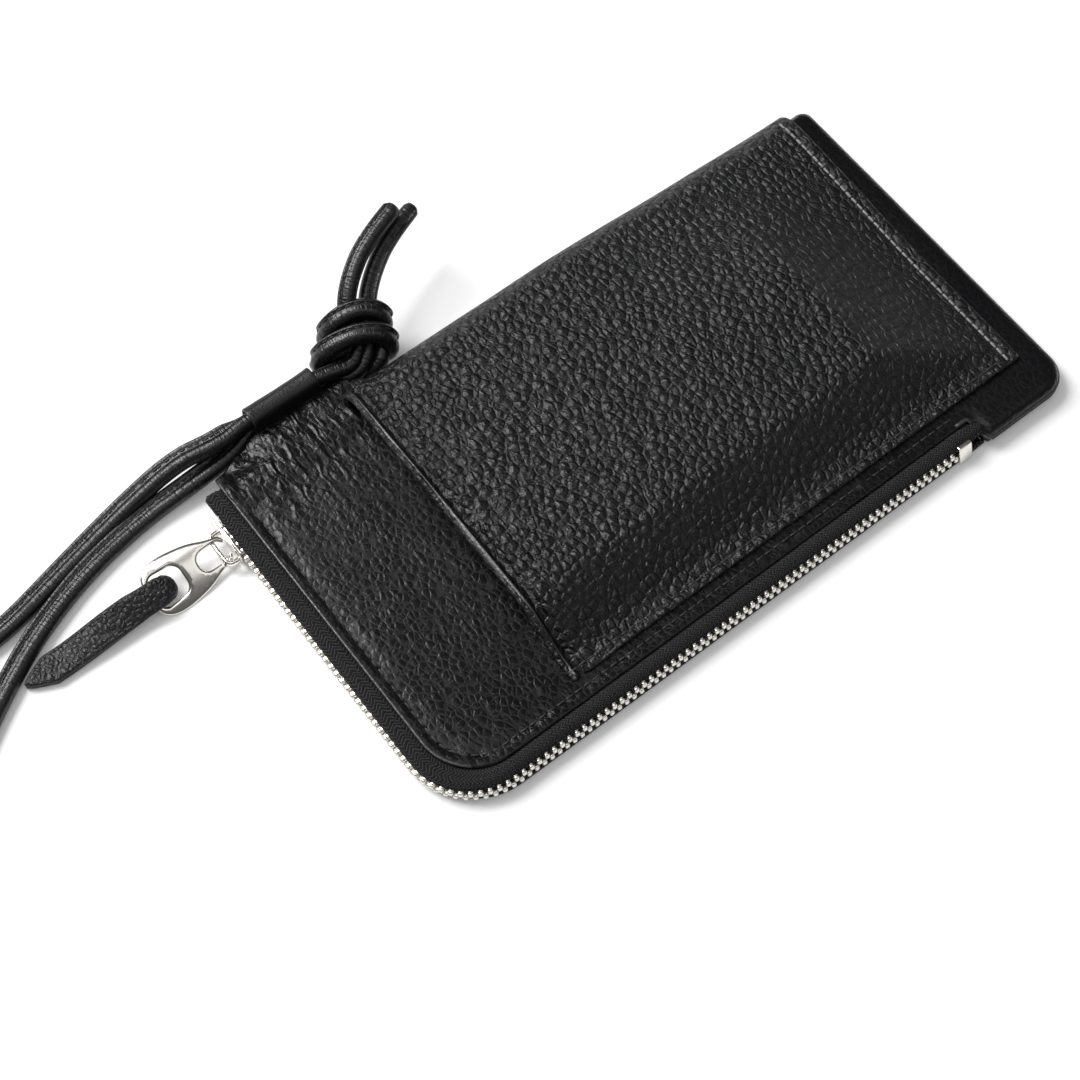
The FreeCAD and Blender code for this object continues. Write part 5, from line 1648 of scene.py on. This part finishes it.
puller_edge = [(spot.x, spot.y) for spot in spline_points([Vector((x, y, 0)) for x, y in puller_side], 5)]
puller_edge += [(x, -y) for x, y in reversed(puller_edge[1:-1])]
bridge_hole = rounded([(1.45, -2.6), (1.45, 2.6), (-5.6, 2.45), (-5.6, -2.45)], [1.5, 1.5, 2.2, 2.2])
pull_hole = rounded([(-9.8, -3.7), (-9.8, 3.7), (-17.8, 4.3), (-17.8, -4.3)], [2.4, 2.4, 2.0, 2.0])
plate_loops = [offset_loop(puller_edge, -PLATE_THICK / 2)]
plate_loops += [offset_loop(hole, PLATE_THICK / 2) for hole in (bridge_hole, pull_hole)]
plate_grid = [(-19.5 + PLATE_GRID * i, -7.2 + PLATE_GRID * j) for i in range(41) for j in range(27)]
plate_points, plate_faces = filled(plate_loops, kept(plate_grid, plate_loops, PLATE_CLEAR))
puller_place = Matrix.Translation(Vector((BRIDGE_X, SLIDER_Y, CHAIN_Z)) * MM)
puller_place = puller_place @ Matrix.Rotation(PULLER_ROLL, 4, "X")
plate_verts = []
for x, y in plate_points:
    z = PLATE_THICK / 2 + PLATE_LIFT - PLATE_CROWN * ((y - PLATE_RIDGE) / CROWN_REACH) ** 2
    plate_verts.append(puller_place @ (Vector((x, y, z)) * MM))
puller_shape = thick_sheet(plate_verts, plate_faces, PLATE_THICK * MM, rim_steps=5)
piece("puller_tag", puller_shape, "puller", "zip_metal", nickel, "puller_plate")

# %% [markdown]
# ## Leather pull
# The pull is a strip of the same leather, folded through the puller's hole and sewn to itself. From the
# puller's roll the strip untwists until it lies flat on the table, where it ends in a point. A twist modifier
# could turn it, but placing each ring of points by its own roll also sets its height over the table. A groove
# along both sides shows that the strip is doubled.

# %% Strip of the pull
BAR_X = -113.25
PULL_LONG, PULL_WIDE, PULL_THICK, PULL_POINT = 34.0, 7.4, 2.2, 6.5
PULL_REST = PULL_THICK / 2 + 0.2
PULL_SEWN, PULL_STEP = 5.0, 0.5
PULL_HUMP = 0.35


def pull_spot(reach):
    """Middle of the pull at a distance from the bar, and its axes across and up."""
    t = smooth_step((reach - 2.5) / 21.0)
    z = CHAIN_Z + (PULL_REST - CHAIN_Z) * t + PULL_HUMP * math.sin(math.pi * ramp(reach / 24.0))
    roll = PULLER_ROLL * (1 - t)
    across = Vector((0, math.cos(roll), math.sin(roll)))
    top = Vector((0, -math.sin(roll), math.cos(roll)))
    return Vector((BAR_X - reach, SLIDER_Y, z)), across, top


def pull_half_width(reach):
    left = PULL_LONG - reach
    if left < PULL_POINT:
        return PULL_WIDE / 2 * (0.1 + 0.9 * (left / PULL_POINT) ** 0.8)
    return PULL_WIDE / 2 * (0.93 + 0.07 * smooth_step((reach - 2) / 4))


def pull_ring(half, thick):
    """Section of the doubled strip, as (across, up): crowned on top, with a groove along each side."""
    e = min(0.45, half * 0.5)
    right = [(half - e, thick), (half - 0.12, thick - 0.16), (half, thick - 0.45), (half - 0.05, 0.18),
             (half - 0.22, 0), (half - 0.05, -0.18), (half, -thick + 0.45), (half - 0.12, -thick + 0.16),
             (half - e, -thick)]
    left = [(-a, b) for a, b in reversed(right)]
    crown = [(-half * 0.5, thick + 0.06), (0, thick + 0.1), (half * 0.5, thick + 0.06)]
    return left[-1:] + crown + right + [(0, -thick)] + left[:-1]


pull_verts = []
pull_reaches = [PULL_SEWN + PULL_STEP * k for k in range(int((PULL_LONG - PULL_SEWN) / PULL_STEP) + 1)]
for reach in pull_reaches:
    spot, across, top = pull_spot(reach)
    ring = pull_ring(pull_half_width(reach), PULL_THICK / 2)
    pull_verts += [(spot + across * a + top * b) * MM for a, b in ring]
pull_last = (len(pull_reaches) - 1) * len(ring)
pull_faces = grid_quads(len(pull_reaches), len(ring), True)
pull_faces += [tuple(reversed(range(len(ring)))), tuple(range(pull_last, pull_last + len(ring)))]
print("pull strip", len(pull_faces), "faces")

# %% [markdown]
# The fold stands up in the hole and lies over the end bar with the puller's roll. It is a sheet along a
# curved line, rounded and narrowed at its tip, and it is joined with the strip to one piece.

# %% Fold of the pull through the puller
PULL_LAYER = 0.95
FOLD_ACROSS = 8
FOLD_BOW, TIP_BACK = 0.14, 1.6
fold_route = [
    (-7.2, 0.62), (-5.0, 0.72), (-2.0, 1.35), (1.2, 1.95), (4.2, 2.2), (6.0, 1.2), (5.8, -0.7), (3.8, -1.3),
    (1.0, -1.25), (-2.0, -1.05), (-5.0, -0.72), (-7.2, -0.62),
]
fold_line = spline_points([Vector((x, 0, z)) for x, z in fold_route], 6)
fold_verts = []
for spot in fold_line:
    middle, across, top = pull_spot(-spot.x)
    tip = smooth_step((spot.x - 2.0) / 3.6)
    half = (pull_half_width(-spot.x) - 0.45) * (1 - 0.1 * tip)
    for j in range(FOLD_ACROSS + 1):
        w = 2 * j / FOLD_ACROSS - 1
        bow = FOLD_BOW * (1 - w * w)
        back = Vector((-TIP_BACK * tip * abs(w) ** 3, 0, 0))
        rise = spot.z * (1 - 0.25 * tip * w * w) + math.copysign(bow, spot.z)
        fold_verts.append((middle + back + across * (half * w) + top * rise) * MM)
fold_faces = grid_quads(len(fold_line), FOLD_ACROSS + 1, False, FAR_FIRST)
outer_verts = np.array([tuple(v) for v in fold_verts])
outer_verts += surface_normals(outer_verts, fold_faces) * (PULL_LAYER / 2 * MM)
fold_shape = thick_sheet(outer_verts, fold_faces, PULL_LAYER * MM)
pull_shape = joined([(pull_verts, pull_faces), fold_shape])
piece("folded_pull", pull_shape, "pull", "smooth_leather", fine_skin, "leather_pull")

# %% Stitches of the pull
PULL_STITCH_START, PULL_STITCH_STEP, PULL_STITCH_INSET = 6.0, 2.1, 0.75
pull_places = []
for sign in (-1, 1):
    reach = PULL_STITCH_START
    while reach < PULL_LONG - PULL_POINT - 0.5:
        spot, across, top = pull_spot(reach)
        aside = sign * (pull_half_width(reach) - PULL_STITCH_INSET)
        spot += across * aside + top * (PULL_THICK / 2 + 0.03)
        pull_places.append((spot * MM, Vector((-1, 0, 0)), top))
        reach += PULL_STITCH_STEP
stitch_piece("pull_stitches", pull_places, 1.6, 0.36, black_thread, body="pull")

# %% [markdown]
# ## Sleeve and its tab
# A small leather sleeve holds the two strands one above the other. A tube with a round section would be too
# wide, so its section is stretched upwards round both cords, with a little noise and flared ends.

# %% Sleeve
SLEEVE_Z = 6.8
SLEEVE_RADIUS, SLEEVE_FLAT, SLEEVE_WALL = 2.5, 2.05, 0.5
SLEEVE_FLARE, SLEEVE_SOFT = 0.16, 0.10
SLEEVE_ROWS, SLEEVE_ROUND = 26, 36
sleeve_verts = []
for i in range(SLEEVE_ROWS + 1):
    share = i / SLEEVE_ROWS
    x = SLEEVE_MOUTH + (SLEEVE_END - SLEEVE_MOUTH) * i / SLEEVE_ROWS
    flare = SLEEVE_FLARE * (2 * share - 1) ** 4
    for k in range(SLEEVE_ROUND):
        a = 2 * math.pi * k / SLEEVE_ROUND
        soft = SLEEVE_SOFT * noise.noise(Vector((x / 5, math.cos(a) * 1.3, math.sin(a) * 1.3)))
        radius = SLEEVE_RADIUS + soft + flare
        lift = SLEEVE_FLAT * max(-1.0, min(1.0, 1.6 * math.sin(a)))
        y, z = SLEEVE_Y + radius * math.cos(a), SLEEVE_Z + radius * math.sin(a) + lift
        sleeve_verts.append(Vector((x, y, z)) * MM)
sleeve_faces = grid_quads(SLEEVE_ROWS + 1, SLEEVE_ROUND, True, FAR_FIRST)
sleeve_shape = thick_sheet(sleeve_verts, sleeve_faces, SLEEVE_WALL * MM)
piece("strap_sleeve", sleeve_shape, "pouch", "smooth_leather", smooth_skin, "sleeve")

# %% [markdown]
# A doubled tab sews the sleeve to the fold and widens into a flap towards the mouth corner. It is a grid
# whose outer edge follows a curve, and it crinkles where the strap pulls at it.

# %% Tab
TAB_LOW_X, TAB_HIGH_X, TAB_ROOT_Y, TAB_ROOT_Z = OPENING_X + 0.3, -40.0, 37.0, 6.3
TAB_THICK, TAB_CRINKLE = 1.3, 0.3
TAB_ROWS, TAB_COLUMNS = 64, 30


def tab_edge(x):
    """Outer edge of the tab: slanted before the sleeve, along it, and back to the fold behind it."""
    before = 51.6 + 4.2 * smooth_step((x - TAB_LOW_X) / (SLEEVE_MOUTH - TAB_LOW_X))
    return before - 5.5 * smooth_step((x - SLEEVE_END - 3.0) / 10.0)


tab_verts = []
for i in range(TAB_ROWS + 1):
    x = TAB_LOW_X + (TAB_HIGH_X - TAB_LOW_X) * i / TAB_ROWS
    edge = tab_edge(x)
    for k in range(TAB_COLUMNS + 1):
        y = TAB_ROOT_Y + (edge - TAB_ROOT_Y) * k / TAB_COLUMNS
        z = TAB_ROOT_Z + 0.7 * smooth_step((y - TAB_ROOT_Y) / 7.0)
        z -= 1.5 * smooth_step((y - 46.5) / 5.5) * smooth_step((SLEEVE_MOUTH + 1 - x) / 7.0)
        crinkle = TAB_CRINKLE * noise.noise(Vector((x / 2.6, y / 6.0, 4.4)))
        z += crinkle * smooth_step((y - TAB_ROOT_Y - 4.0) / 5.0)
        tab_verts.append(Vector((x, y, z)) * MM)
tab_faces = grid_quads(TAB_ROWS + 1, TAB_COLUMNS + 1, False, OUTER_FIRST)
tab_shape = thick_sheet(tab_verts, tab_faces, TAB_THICK * MM)
piece("sewn_tab", tab_shape, "pouch", "smooth_leather", panel_skin, "sleeve_tab")
